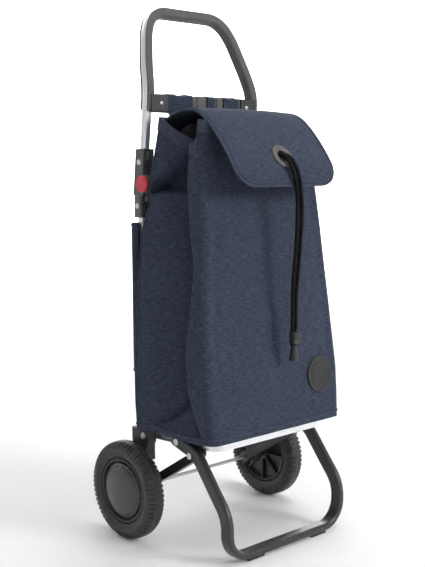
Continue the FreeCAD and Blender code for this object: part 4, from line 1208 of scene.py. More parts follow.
@dataclass
class HangingLoops:
    """Cloth loops over the crossbar that carry the bag.

    Attributes:
        skin: thickness of the cloth.
        spans: low and high X of each loop.
        ease: how much wider than the bar a loop's section is.
        corner: round of the section's corners.
        samples: points along a loop.
    """

    skin: float = 0.0016
    spans: tuple = ((-0.096, -0.032), (0.005, 0.027), (0.050, 0.088))
    ease: float = 0.0035
    corner: float = 0.0055
    samples: int = 90

    def band(self) -> Array:
        """The loops' line (Y, Z): up from the bag's rim and once round the bar.

        Returns:
            Evenly spaced points.
        """
        low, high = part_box("crossbar")
        bar = (low + high) / 2
        _, hinge_y, hinge_z = JOINTS["flap_lift"]["pos_m"]
        outline = rounded_section(high.y - low.y + self.ease, high.z - low.z + self.ease, self.corner, 8)
        order = np.roll(outline + [bar.y, bar.z], -17, axis=0)
        foot = [
            [hinge_y + 0.004, hinge_z - 0.010],
            [hinge_y + 0.008, hinge_z - 0.004],
            [bar.y - 0.019, bar.z - 0.026],
        ]
        return catmull(np.vstack([foot, order[3:], order[3:5]]), self.samples)

    def make(self) -> None:
        """Each loop is a closed band round the bar whose ends run down to the bag."""
        band = self.band()
        shell = Shell()
        for start, end in self.spans:
            count = max(6, int((end - start) / 0.003))
            xs = np.linspace(start, end, count)
            sag = 0.0010 * np.sin(np.linspace(0, math.pi * 3, count)) + 0.0006 * np.cos(xs * 400)
            shell.grid(np.stack([np.broadcast_to(xs[:, None], (count, self.samples)),
                                 band[None, :, 0] + sag[:, None] * 0.5,
                                 band[None, :, 1] + sag[:, None]], axis=2))
        piece = shell.build("hanging_loop_cloth", 60)
        solidify(piece, self.skin, 0.0)
        settle(piece, "handle", Finish.CLOTH, ["hanging_loops"])


# ------------------------------------------------------------------ flap and eyelet


# The flap's line (Y, Z) from its hinge over the mouth and down the front.
FLAP_LINE = (
    (0.002, -0.003),
    (-0.033, 0.015),
    (-0.073, 0.0205),
    (-0.105, 0.012),
    (-0.137, -0.013),
    (-0.171, -0.052),
    (-0.192, -0.083),
    (-0.203, -0.110),
    (-0.2045, -0.123),
)


@dataclass
class Flap:
    """The padded flap over the mouth, its bound edge, its stitches and its eyelet.

    Attributes:
        wall: thickness of cloth and filling.
        corner: round of the lower corners.
        eyelet_rise: height of the eyelet's centre.
        eyelet_ring: outer radius of the eyelet.
        eyelet_hole: radius of the eyelet's hole.
        cloth_hole: radius of the hole in the cloth.
        rows: rows of points down its line.
        columns: columns of points across it.
    """

    wall: float = 0.0030
    corner: float = 0.045
    eyelet_rise: float = 0.736
    eyelet_ring: float = 0.024
    eyelet_hole: float = 0.012
    cloth_hole: float = 0.0165
    rows: int = 120
    columns: int = 110

    def __post_init__(self) -> None:
        """Reads the hinge and width from the frame, and works out the flap's line."""
        self.hinge = JOINTS["flap_lift"]["pos_m"]
        self.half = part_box("flap")[1].x - 0.0005
        line = np.array(FLAP_LINE) + [self.hinge[1], self.hinge[2]]
        self.line = catmull(line, self.rows)
        steps = np.linalg.norm(np.diff(self.line, axis=0), axis=1)
        self.reach = np.concatenate([[0.0], np.cumsum(steps)])
        self.length = float(self.reach[-1])
        tangent = np.gradient(self.line, axis=0)
        self.tangent = tangent / np.linalg.norm(tangent, axis=1)[:, None]
        self.normal = np.column_stack([self.tangent[:, 1], -self.tangent[:, 0]])
        row = int(np.argmin(np.abs(self.line[:, 1] - self.eyelet_rise) + (self.line[:, 0] > -0.09) * 9))
        self.eyelet_centre = np.array([0.0, *self.line[row]])
        self.eyelet_normal = np.array([0.0, *self.normal[row]])
        if self.eyelet_normal[1] > 0:
            self.normal = -self.normal
            self.eyelet_normal = -self.eyelet_normal

    def half_at(self, reach: Array, inset: float = 0.0) -> Array:
        """Half width at a distance down the flap: full, then round in to the straight lower edge.

        Args:
            reach: distance down from the hinge seam.
            inset: distance in from the edge.

        Returns:
            The half width.
        """
        r = self.corner - inset
        past = np.clip(reach - (self.length - inset - r), 0, r)
        return self.half - inset - (r - np.sqrt(np.maximum(r * r - past * past, 0)))

    def surface(self, x: Array, reach: Array, lift: float = 0.0) -> Array:
        """A point of the flap: across by x, down its line by reach, and lifted along its normal.

        Args:
            x: place across.
            reach: distance down from the hinge seam.
            lift: height above the cloth.

        Returns:
            The points.
        """
        y = np.interp(reach, self.reach, self.line[:, 0])
        z = np.interp(reach, self.reach, self.line[:, 1])
        ny = np.interp(reach, self.reach, self.normal[:, 0])
        nz = np.interp(reach, self.reach, self.normal[:, 1])
        edge = np.clip(np.abs(x) / self.half, 0, 1.05)
        droop = -0.0035 * edge**4 + 0.0010 * ripple(x, reach, 21, 6, 45.0)
        away = np.hypot(x, reach - self.eyelet_reach)
        dimple = -0.0016 * np.exp(-((away / 0.036) ** 2))
        rise = lift + droop + dimple - 0.0007
        return np.stack([x + 0 * y, y + ny * rise, z + nz * rise], axis=-1)

    @property
    def eyelet_reach(self) -> float:
        """Distance down the flap to the eyelet's centre."""
        away = np.linalg.norm(self.line - self.eyelet_centre[1:], axis=1)
        return float(self.reach[np.argmin(away)])

    def make_panel(self) -> bpy.types.Object:
        """The cloth panel: rows down the line, columns across, with the eyelet's place left open.

        Returns:
            The piece.
        """
        reach = np.linspace(0, self.length, self.rows * 2)
        across = np.linspace(-1, 1, self.columns)
        half = self.half_at(reach)
        x = half[:, None] * across[None]
        deep = np.broadcast_to(reach[:, None], x.shape)
        points = self.surface(x, deep)
        piece = Shell().grid(points, uv=np.stack([x, deep], axis=2)).build("flap_cloth", 80)
        work = bmesh.new()
        work.from_mesh(piece.data)
        centre = Vector(self.eyelet_centre)
        hole = [face for face in work.faces if (face.calc_center_median() - centre).length < self.cloth_hole]
        bmesh.ops.delete(work, geom=hole, context="FACES")
        loose = [vertex for vertex in work.verts if not vertex.link_faces]
        bmesh.ops.delete(work, geom=loose, context="VERTS")
        if work.faces:
            work.faces.ensure_lookup_table()
            top = max(work.faces, key=lambda face: face.calc_center_median().z)
            if top.normal.z < 0:
                bmesh.ops.reverse_faces(work, faces=work.faces)
        work.to_mesh(piece.data)
        work.free()
        solidify(piece, self.wall)
        return piece

    def rim(self, inset: float, lift: float, count: int = 460) -> Array:
        """A line round the flap's two sides and lower edge.

        Args:
            inset: distance in from the edge.
            lift: height above the cloth.
            count: points along the line.

        Returns:
            The evenly spaced points.
        """
        r = self.corner - inset
        edge = self.half - inset
        side = np.linspace(0.004, self.length - self.corner, 160)
        arc = np.linspace(0, math.pi / 2, 60)[1:]
        bottom = np.linspace(edge - r, r - edge, 120)[1:-1]
        side_x = np.concatenate([np.full(len(side), edge), edge - r + r * np.cos(arc)])
        side_reach = np.concatenate([side, self.length - self.corner + r * np.sin(arc)])
        x = np.concatenate([side_x, bottom, -side_x[::-1]])
        reach = np.concatenate([side_reach, np.full(len(bottom), self.length - inset), side_reach[::-1]])
        return resample(self.surface(x, reach, lift), count)

    def make_binding(self) -> bpy.types.Object:
        """A folded binding along the edge and the ridge of the turned hem inside it."""
        shell = Shell()
        shell.tube(self.rim(0.0012, -0.0013), rounded_section(0.0034, 0.0042, 0.0015, 4), (1, 0, 0))
        shell.tube(self.rim(0.0070, 0.0002), rounded_section(0.0016, 0.0012, 0.0005, 3), (1, 0, 0))
        return shell.build("flap_binding", 60)

    def make_stitches(self) -> bpy.types.Object:
        """A row of stitches: short thread capsules with gaps between them.

        Returns:
            The piece.
        """
        stitch, pitch = 6, 9
        path = self.rim(0.0095, 0.0006, 100 * pitch)
        first = frames_along(path, (1, 0, 0))[1]
        section = rounded_section(0.0009, 0.0007, 0.0003, 2)
        shell = Shell()
        for start in range(2, len(path) - pitch - 1, pitch):
            shell.tube(path[start:start + stitch], section, first[start], caps=False)
        return shell.build("flap_stitches", 80)

    def make_eyelet(self) -> bpy.types.Object:
        """The eyelet: a domed ring turned about the flap's normal, with a barrel through the cloth.

        Returns:
            The piece.
        """
        r_in, r_out = self.eyelet_hole, self.eyelet_ring
        angles = np.linspace(0, math.pi, 18)
        face_r = (r_in + r_out) / 2 + (r_out - r_in) / 2 * np.cos(angles)
        face_a = 0.0004 + 0.0026 * np.sin(angles) ** 0.8
        outer = np.column_stack([face_a, face_r])
        back = np.array([[-0.0052, r_in + 0.0004], [-0.0062, r_in + 0.003], [-0.0062, r_out - 0.003],
                         [-0.0048, r_out - 0.001], [-0.0036, r_out - 0.0015]])
        profile = np.vstack([outer, back, outer[:1]])
        profile[:, 0] += 0.0008
        seat = self.eyelet_centre - self.eyelet_normal * 0.0022
        return Shell().turned(profile, seat, self.eyelet_normal, 72).build("flap_eyelet", 50)

    def make(self) -> None:
        """Builds the flap's pieces and joins them to the flap's body."""
        panel = self.make_panel()
        settle(panel, "flap", Finish.CLOTH, ["flap"])
        binding = settle(self.make_binding(), "flap", Finish.BINDING)
        stitches = settle(self.make_stitches(), "flap", Finish.THREAD)
        eyelet = settle(self.make_eyelet(), "flap", Finish.EYELET, ["eyelet"])
        for piece in (panel, binding, stitches, eyelet):
            crumple(piece)


# ------------------------------------------------------------------ drawcord


# Where the two strands run, middle line first, and how much further apart than in the lock they lie there.
CORD_LINE = (
    (0.0, -0.1310, 0.7355),
    (0.0005, -0.1470, 0.7385),
    (0.0035, -0.1600, 0.7275),
    (0.0095, -0.1685, 0.7050),
    (0.0155, -0.1705, 0.6720),
    (0.0180, -0.1705, 0.6300),
    (0.0166, -0.1690, 0.5750),
    (0.0136, -0.1665, 0.5200),
    (0.0125, -0.1640, 0.4800),
    (0.0145, -0.1625, 0.4500),
    (0.0145, -0.1625, 0.3850),
)
CORD_SPREAD = (0.0, 0.0003, 0.0006, 0.0015, 0.0008, 0.0015, 0.0008, 0.0015, 0.0, 0.0, 0.0)


@dataclass
class Drawcord:
    """Two strands of braided cord, the lock that grips them, its plunger and the bell-shaped end.

    Attributes:
        radius: the strand's radius.
        spread: half the distance between the strands in the lock.
    """

    radius: float = 0.0038
    spread: float = 0.0045

    def route(self, side: Side) -> Array:
        """The strand's line: a NURBS spline with the route's points as its control points.

        Args:
            side: which strand.

        Returns:
            The line's points, as Blender draws them.
        """
        points = np.array(CORD_LINE)
        points[:, 0] += side.value * (self.spread + np.array(CORD_SPREAD))
        curve = bpy.data.curves.new("strand_route", "CURVE")
        curve.dimensions = "3D"
        spline = curve.splines.new("NURBS")
        spline.points.add(len(points) - 1)
        for point, place in zip(spline.points, points):
            point.co = (*place, 1.0)
        spline.order_u = 3
        spline.use_endpoint_u = True
        spline.resolution_u = 24
        holder = bpy.data.objects.new("strand_route", curve)
        bpy.context.scene.collection.objects.link(holder)
        mesh = bpy.data.meshes.new_from_object(holder)
        line = np.array([vertex.co for vertex in mesh.vertices])
        bpy.data.objects.remove(holder)
        bpy.data.meshes.remove(mesh)
        return line

    def make(self) -> None:
        """Builds the strands with the pieces on them."""
        lock = self.make_lock()
        plunger = self.make_plunger()
        bell = self.make_bell()
        settle(lock, "cord_lock", Finish.BLACK, ["cord_lock"])
        settle(plunger, "plunger", Finish.BLACK, ["lock_plunger"])
        settle(bell, "cords", Finish.BLACK, ["cord_end"])
        for side in Side:
            line = resample(self.route(side), 190)
            angles = np.linspace(0, math.tau, 14, endpoint=False)
            section = self.radius * np.column_stack([np.cos(angles), np.sin(angles)])
            piece = Shell().tube(line, section, (1, 0, 0)).build("cord_strand_" + side.word, 80)
            settle(piece, "cords", Finish.CORD, ["cord_" + side.word])
            crumple(piece)
        for piece in (lock, plunger, bell):
            crumple(piece)

    def make_lock(self) -> bpy.types.Object:
        """The lock's body: a rounded barrel, waisted in the middle, with a collar at each end.

        Returns:
            The piece.
        """
        low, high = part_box("cord_lock")
        levels = np.array([0, 0.02, 0.06, 0.2, 0.26, 0.5, 0.74, 0.8, 0.94, 0.98, 1.0])
        grow = np.array([0.80, 0.92, 1.0, 1.0, 0.93, 0.90, 0.93, 1.0, 1.0, 0.92, 0.80])
        outline = rounded_section(high.x - low.x, high.y - low.y, 0.0055, 8)
        middle = ((low + high) / 2).xy
        rises = low.z + levels * (high.z - low.z)
        rows = [np.column_stack([outline * wide + middle, np.full(len(outline), rise)])
                for rise, wide in zip(rises, grow)]
        return Shell().grid(closed(rows), close_columns=True).build("cord_lock_body", 40)

    def make_plunger(self) -> bpy.types.Object:
        """The plunger: a short pin with a domed top.

        Returns:
            The piece.
        """
        low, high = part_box("lock_plunger")
        r = (high.x - low.x) / 2
        angles = np.linspace(0, math.pi / 2, 7)
        dome = np.column_stack([high.z - low.z - 0.0015 + 0.0015 * np.sin(angles), r * np.cos(angles)])
        profile = np.vstack([[0, 0.0], [0, r], dome])
        centre = ((low.x + high.x) / 2, (low.y + high.y) / 2, low.z)
        return Shell().turned(profile, centre, (0, 0, 1), 28).build("lock_plunger_pin", 50)

    def make_bell(self) -> bpy.types.Object:
        """The cord end: a bell turned about the cord, with a rounded mouth and a narrow neck.

        Returns:
            The piece.
        """
        low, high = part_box("cord_end")
        r = (high.x - low.x) / 2
        tall = high.z - low.z
        profile = np.array([[0, 0.0], [0.0012, r * 0.55], [0.0002, r * 0.86], [0.002, r * 0.99], [0.005, r],
                            [0.009, r * 0.93], [0.013, r * 0.80], [tall - 0.003, r * 0.66],
                            [tall - 0.0008, r * 0.60], [tall, r * 0.48], [tall, 0.0]])
        smooth_profile = catmull(profile, 40)
        smooth_profile[:, 1] = np.maximum(smooth_profile[:, 1], 0.0)
        smooth_profile[[0, -1], 1] = 0.0
        centre = ((low.x + high.x) / 2, (low.y + high.y) / 2, low.z)
        return Shell().turned(smooth_profile, centre, (0, 0, 1), 36).build("cord_bell", 60)


# ------------------------------------------------------------------ handle and fold joints


@dataclass
class Handle:
    """The bent tube, its grip, crossbar and clamps.

    Attributes:
        side: the tube's side.
        corner: round of the tube's edges.
        skin: thickness of the grip.
        spread: the leg's centre from the middle plane.
        bend_rise: height where the legs bend back.
        grip_low: lower end of the grip.
        rise: the handle's top, with its grip.
        leg_lean: how far the legs lean forward.
        loop_lean: how far the loop leans back.
        saddles: X of the middle of each saddle on the crossbar.
        screw_spread: X of the crossbar's screws from the middle plane.
    """

    side: float = 0.016
    corner: float = 0.005
    skin: float = 0.0030
    spread: float = 0.1385
    bend_rise: float = 0.858
    grip_low: float = 0.820
    rise: float = 1.023
    leg_lean: float = math.radians(5.3)
    loop_lean: float = math.radians(18.5)
    saddles: tuple = (-0.013, 0.040, 0.098)
    screw_spread: float = 0.113

    def __post_init__(self) -> None:
        """Reads the pivot and the tube's ends from the frame."""
        self.pivot = JOINTS["handle_fold"]["pos_m"]
        self.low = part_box("handle_tube")[0].z

    def leg_back(self, rise: float) -> float:
        """Y of the leg's centre at a height."""
        return self.pivot[1] + 0.017 - (rise - 0.660) * math.tan(self.leg_lean)

    def route(self, start: float) -> Array:
        """The tube's centre line from the right leg round to the left leg.

        Args:
            start: height where the line starts and ends.

        Returns:
            The line's points.
        """
        base = np.array([0.0, self.leg_back(self.bend_rise), self.bend_rise])
        up = np.array([0.0, math.sin(self.loop_lean), math.cos(self.loop_lean)])
        half = self.side / 2
        spare = half * math.cos(self.loop_lean) + (half + self.skin) * math.sin(self.loop_lean)
        reach = (self.rise - spare - self.bend_rise) / math.cos(self.loop_lean)
        right = [
            np.array([self.spread, self.leg_back(start), start]),
            base + [self.spread, 0, 0],
            base + up * reach * 0.30 + [self.spread - 0.008, 0, 0],
            base + up * reach * 0.71 + [self.spread - 0.025, 0, 0],
            base + up * reach + [self.spread - 0.048, 0, 0],
        ]
        left = [point * [-1, 1, 1] for point in right[::-1]]
        radii = [0, 0.110, 0.480, 0.120, 0.055]
        return bent_path(right + left, radii + radii[::-1], 0.0025)

    def make_tube(self) -> bpy.types.Object:
        """The tube: a rounded square with fine grooves along its outer face, carried round the loop."""
        path = dense(self.route(self.low), 0.006)
        outline = grooved(self.side, self.corner)
        return Shell().tube(path, outline, (1, 0, 0)).build("handle_tube_bent", 30)

    def make_grip(self) -> bpy.types.Object:
        """The grip: a C-shaped section, open on the tube's outer face, with soft lips.

        Returns:
            The piece.
        """
        half, skin = self.side / 2, self.skin
        r = 0.0055
        arc = np.linspace(0, math.pi / 2, 8)
        lip = 0.0012
        upper = [
            (half - 0.0008, half + 0.0002),
            (half - 0.0002, half + skin * 0.6),
            (half - lip, half + skin),
        ]
        corner_a = [(-half - skin + r - r * math.sin(a), half + skin - r + r * math.cos(a)) for a in arc]
        corner_b = [(x, -y) for x, y in corner_a[::-1]]
        lower = [(x, -y) for x, y in upper[::-1]]
        inside = [(-half * 0.6, -half + 0.0004), (-half + 0.0003, -half * 0.6), (-half + 0.0003, half * 0.6),
                  (-half * 0.6, half - 0.0004)]
        outline = np.array(upper + corner_a + corner_b + lower + inside)
        path = dense(self.route(self.grip_low), 0.006)
        return Shell().tube(path, outline, (1, 0, 0), caps=False).build("handle_grip_rubber", 35)

    def make(self) -> None:
        """Builds the handle's pieces."""
        settle(self.make_tube(), "handle", Finish.ALUMINIUM, ["handle_tube"])
        settle(self.make_grip(), "handle", Finish.GRIP, ["handle_grip"])
        low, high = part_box("crossbar")
        bar = bevelled_box(low, high, 0.004, "crossbar_body")
        settle(bar, "handle", Finish.CASING, ["crossbar"])
        settle(self.make_saddles(low, high), "handle", Finish.CASING)
        for side in Side:
            dress(frame["nodes"]["bar_clamp_" + side.word], Finish.BLACK)
        screws = Shell()
        for sign in (-1, 1):
            seat = (sign * self.screw_spread, low.y - 0.0036, (low.z + high.z) / 2)
            add_screw(screws, seat, (0, -1, 0), 0.0042)
        settle(screws.build("crossbar_screws", 40), "handle", Finish.STEEL)

    def make_saddles(self, low: Vector, high: Vector) -> bpy.types.Object:
        """The saddles: short sleeves round the crossbar, with their ends drawn in a little.

        Args:
            low: the crossbar's lowest corner.
            high: its highest corner.

        Returns:
            The piece.
        """
        centre = ((low + high) / 2).yz
        outline = rounded_section(high.y - low.y + 0.003, high.z - low.z + 0.004, 0.0045, 6)
        saddles = Shell()
        for middle in self.saddles:
            rows = [np.column_stack([np.full(len(outline), middle + shift), outline * wide + centre])
                    for shift, wide in ((-0.0075, 0.93), (-0.0068, 1.0), (0.0068, 1.0), (0.0075, 0.93))]
            saddles.grid(np.array(rows), close_columns=True)
        return saddles.build("crossbar_saddles", 40)


def dense(path: Array, step: float) -> Array:
    """Adds points along a path's straight runs.

    Args:
        path: the path.
        step: the longest gap to leave.

    Returns:
        The denser path.
    """
    pieces = [path[:1]]
    for first, last in zip(path, path[1:]):
        count = max(1, int(np.linalg.norm(last - first) / step))
        shares = np.linspace(0, 1, count + 1)[1:, None]
        pieces.append(first + (last - first) * shares)
    return np.vstack(pieces)


def grooved(side: float, corner: float, grooves: int = 5) -> Array:
    """A rounded square whose +X face has fine grooves: the face is set in by a small wave across it.

    Args:
        side: side of the square.
        corner: corner radius.
        grooves: how many grooves.

    Returns:
        The outline (X, Y).
    """
    outline = rounded_section(side, side, corner, 7)
    flat = np.linspace(-(side / 2 - corner), side / 2 - corner, grooves * 6 + 1)
    wave = 0.0006 * (0.5 - 0.5 * np.cos(np.linspace(0, math.tau * grooves, len(flat))))
    face = np.column_stack([side / 2 - wave, flat])[1:-1]
    return np.vstack([outline, face])


def add_screw(shell: Shell, centre: Sequence[float], axis: Sequence[float], radius: float) -> None:
    """Adds a round rivet or screw head: a low dome with a rounded rim and a small recess.

    Args:
        shell: the shell that gets it.
        centre: the middle of the head's seat.
        axis: the direction it faces.
        radius: the head's radius.
    """
    angles = np.linspace(0, math.pi / 2, 8)
    dome = np.column_stack([radius * 0.34 * np.sin(angles), radius * (0.35 + 0.65 * np.cos(angles))])
    recess = np.array([[radius * 0.20, radius * 0.28], [radius * 0.20, 0.0]])
    profile = np.vstack([[-radius * 0.25, radius * 0.98], dome, recess])
    shell.turned(profile, centre, axis, 28)


@dataclass
class FoldJoint:
    """One fold joint: upper and lower casing halves, the red button and the rivets.

    Attributes:
        side: which mast tube it is on.
    """

    side: Side

    def make(self) -> None:
        """Builds the joint's pieces on the frame, the handle and the button."""
        word, sign = self.side.word, self.side.value
        pivot = np.array(JOINTS["handle_fold"]["pos_m"])
        for node in ("upper_casing_", "lower_casing_"):
            dress(frame["nodes"][node + word], Finish.CASING)
        self.make_button(pivot, word, sign)
        low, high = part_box("upper_casing_" + word)
        outer = high.x if sign > 0 else -low.x
        inner = low.x if sign > 0 else -high.x
        for body, node in (("frame", "lower_rivets"), ("handle", "upper_rivets")):
            r_low, r_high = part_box(node)
            y, z = (r_low.y + r_high.y) / 2, (r_low.z + r_high.z) / 2
            heads = Shell()
            add_screw(heads, (sign * outer, y, z), (sign, 0, 0), 0.0055)
            add_screw(heads, (sign * inner, y, z), (-sign, 0, 0), 0.0055)
            piece = heads.build(f"{body}_rivet_heads_{word}", 40)
            settle(piece, body, Finish.STEEL, [node])

    def make_button(self, pivot: Array, word: str, sign: int) -> None:
        """The button: a shallow dome turned about the pivot, with a ring groove near its rim.

        Args:
            pivot: the fold pivot.
            word: the side's name.
            sign: the side's sign of X.
        """
        low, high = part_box("button_" + word)
        r = (high.z - low.z) / 2
        tall = high.x - low.x
        base = low.x if sign > 0 else high.x
        rim = np.linspace(0, math.pi / 2, 7)
        edge = np.column_stack([tall - 0.0016 + 0.0016 * np.sin(rim), r - 0.0016 + 0.0016 * np.cos(rim)])
        face = np.array([[tall - 0.0001, r * 0.80], [tall - 0.0008, r * 0.77], [tall - 0.0008, r * 0.73],
                         [tall - 0.0002, r * 0.70], [tall - 0.0001, r * 0.4], [tall, 0.0]])
        profile = np.vstack([[0, 0.0], [0, r], edge, face])
        piece = Shell().turned(profile, (base, pivot[1], pivot[2]), (sign, 0, 0), 64).build(
            "button_cap_" + word, 40)
        settle(piece, "button_" + word, Finish.BUTTON, ["button_" + word])


# ------------------------------------------------------------------ wheels


@dataclass
class Wheel:
    """One wheel: a tyre with shoulder lugs, a dished hub and a polished domed cap.

    Attributes:
        side: which end of the axle.
        lugs: how many lugs round the tyre.
        radius: the tyre's radius.
        spokes: how many ribs are on the hub's inner face.
    """

    side: Side
    lugs: int = 60
    radius: float = 0.095
    spokes: int = 8

    def __post_init__(self) -> None:
        """Reads the wheel's place and size from the frame."""
        word = self.side.word
        low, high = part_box("tyre_" + word)
        self.centre = np.array([(low.x + high.x) / 2, *JOINTS[f"wheel_{word}_spin"]["pos_m"][1:]])
        self.half = (high.x - low.x) / 2
        cap_low, cap_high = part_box("hub_cap_" + word)
        self.cap_face = (cap_high.x if self.side.value > 0 else -cap_low.x) - abs(self.centre[0])

    def make_tyre(self) -> bpy.types.Object:
        """The tyre: its section goes from bead to bead, and the shoulders carry lugs.

        The radius at angle a is the section's radius less a groove depth: square waves round the wheel on the
        shoulders, out of step on the two sides, fading out on the tread's middle and on the sidewalls.

        Returns:
            The piece.
        """
        w, r = self.half, self.radius
        section = np.array([
            [-w * 0.60, 0.0640],
            [-w * 0.80, 0.0650],
            [-w * 0.86, 0.0672],
            [-w * 0.82, 0.0690],
            [-w * 0.86, 0.0708],
            [-w * 0.97, 0.0735],
            [-w, 0.0775],
            [-w * 0.995, 0.0820],
            [-w * 0.96, 0.0862],
            [-w * 0.88, 0.0898],
            [-w * 0.74, 0.0926],
            [-w * 0.52, 0.0942],
            [-w * 0.26, r - 0.0002],
            [0.0, r],
        ])
        section = np.vstack([section, section[-2::-1] * [-1, 1]])
        dense_section = resample(section, 66)
        count = self.lugs * 8
        angles = np.linspace(0, math.tau, count, endpoint=False)
        across = dense_section[:, 0]
        shoulder = smooth(w * 0.30, w * 0.50, np.abs(across)) * smooth(0.0800, 0.0850, dense_section[:, 1])
        phase = np.where(across > 0, 0.0, math.pi)
        wave = np.cos(angles[None] * self.lugs + phase[:, None] + np.abs(across)[:, None] * 60)
        gap = smooth(0.15, 0.60, wave) * shoulder[:, None]
        rib = 0.0010 * np.exp(-((across / (w * 0.10)) ** 2))[:, None]
        radius = dense_section[:, 1, None] - 0.0026 * gap - rib
        x = across[:, None] * (1 - 0.035 * gap)
        points = np.stack([self.centre[0] + x, self.centre[1] + radius * np.cos(angles)[None],
                           self.centre[2] + radius * np.sin(angles)[None]], axis=2)
        shell = Shell().grid(points, close_columns=True, close_rows=True)
        return shell.build("tyre_rubber_" + self.side.word, 35)

    def make_hub(self) -> bpy.types.Object:
        """The hub: rings and a dished disc outside, a ribbed disc inside, turned about the axle.

        Returns:
            The piece.
        """
        out = np.array([
            [0.0070, 0.0535], [0.0085, 0.0550], [0.0085, 0.0562], [0.0120, 0.0570],
            [0.0148, 0.0585], [0.0152, 0.0610], [0.0135, 0.0632], [0.0100, 0.0645],
        ])
        back = np.array([
            [-0.0100, 0.0645], [-0.0135, 0.0632], [-0.0150, 0.0612], [-0.0140, 0.0590],
            [-0.0080, 0.0575], [-0.0045, 0.0545], [-0.0035, 0.0300], [-0.0060, 0.0180],
            [-0.0145, 0.0150], [-0.0150, 0.0130], [-0.0150, 0.0082], [0.0070, 0.0082],
        ])
        profile = np.vstack([out, back, out[:1]])
        sign = self.side.value
        shell = Shell().turned(profile, self.centre, (sign, 0, 0), 96)
        for angle in np.linspace(0, math.tau, self.spokes, endpoint=False):
            ray = np.array([0.0, math.cos(angle), math.sin(angle)])
            start = self.centre + ray * 0.014 - np.array([sign * 0.0085, 0, 0])
            end = self.centre + ray * 0.0585 - np.array([sign * 0.0070, 0, 0])
            path = start + (end - start) * np.linspace(0, 1, 6)[:, None]
            shell.tube(path, rounded_section(0.010, 0.0030, 0.0010, 3), (1, 0, 0))
        return shell.build("hub_dish_" + self.side.word, 35)

    def make_cap(self) -> bpy.types.Object:
        """The cap: a polished dome with a step and a groove near its rim, turned about the axle.

        Returns:
            The piece.
        """
        top = self.cap_face
        arc = np.linspace(0, 1, 16)
        dome = np.column_stack([top - 0.0052 * arc**2.2, 0.0460 * arc])
        edge = np.array([
            [top - 0.0062, 0.0468], [top - 0.0068, 0.0476], [top - 0.0060, 0.0486],
            [top - 0.0062, 0.0510], [top - 0.0075, 0.0528], [top - 0.0100, 0.0535],
            [0.0072, 0.0535], [0.0070, 0.0530], [0.0070, 0.0],
        ])
        profile = np.vstack([dome, edge])
        shell = Shell().turned(profile, self.centre, (self.side.value, 0, 0), 96)
        return shell.build("hub_cap_dome_" + self.side.word, 30)

    def make(self) -> None:
        """Builds the wheel's pieces on its own body."""
        word = self.side.word
        body = "wheel_" + word
        settle(self.make_tyre(), body, Finish.RUBBER, ["tyre_" + word])
        settle(self.make_hub(), body, Finish.HUB, ["hub_" + word])
        settle(self.make_cap(), body, Finish.CAP, ["hub_cap_" + word])
        dress(frame["nodes"]["bush_" + word], Finish.BLACK)


# ------------------------------------------------------------------ undercarriage and badge


@dataclass
class Undercarriage:
    """The masts and the pieces below the bag, which keep their shape and get their finishes."""

    def make(self) -> None:
        """Gives every carried-over node its finish."""
        finishes = {
            Finish.ALUMINIUM: ("mast_left", "mast_right"),
            Finish.BAND: ("tray_rim",),
            Finish.STEEL: ("axle", "axle_clips", "fold_pins", "tray_pins", "stand_pins", "strut_rivets"),
            Finish.BLACK: ("mast_foot_left", "mast_foot_right", "axle_spacers", "stand_pads"),
            Finish.COAT: ("stand_loop", "strut_left", "strut_right"),
            Finish.BOARD: ("base_board",),
        }
        for finish, nodes in finishes.items():
            for node in nodes:
                dress(frame["nodes"][node], finish)
        LOG.info("undercarriage dressed")


@dataclass
class Badge:
    """A plain round badge on the bag's front: a raised rim, a ring and a shallow dish.

    Attributes:
        radius: the badge's radius.
        slope: how far the bag's front leans back, and over what height.
    """

    radius: float = 0.034
    slope: tuple = (0.0100, 0.105)

    def make(self) -> None:
        """Turns the badge's profile about the normal of the bag's front."""
        low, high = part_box("badge")
        centre = (low + high) / 2
        tilt = math.atan2(*self.slope)
        axis = np.array([0.0, -math.cos(tilt), math.sin(tilt)])
        r = self.radius
        rim = np.linspace(0, math.pi / 2, 6)
        edge = np.column_stack([0.0008 + 0.0012 * np.sin(rim), r - 0.0012 + 0.0012 * np.cos(rim)])
        face = np.array([[0.0020, r - 0.0035], [0.0010, r - 0.0048], [0.0010, r * 0.66], [0.0018, r * 0.63],
                         [0.0018, r * 0.56], [0.0010, r * 0.53], [0.0006, r * 0.25], [0.0006, 0.0]])
        profile = np.vstack([[-0.0030, 0.0], [-0.0030, r - 0.001], edge, face])
        piece = Shell().turned(profile, centre, axis, 72).build("badge_disc", 35)
        settle(piece, "frame", Finish.BADGE, ["badge"])
        crumple(piece)


# ------------------------------------------------------------------ studio


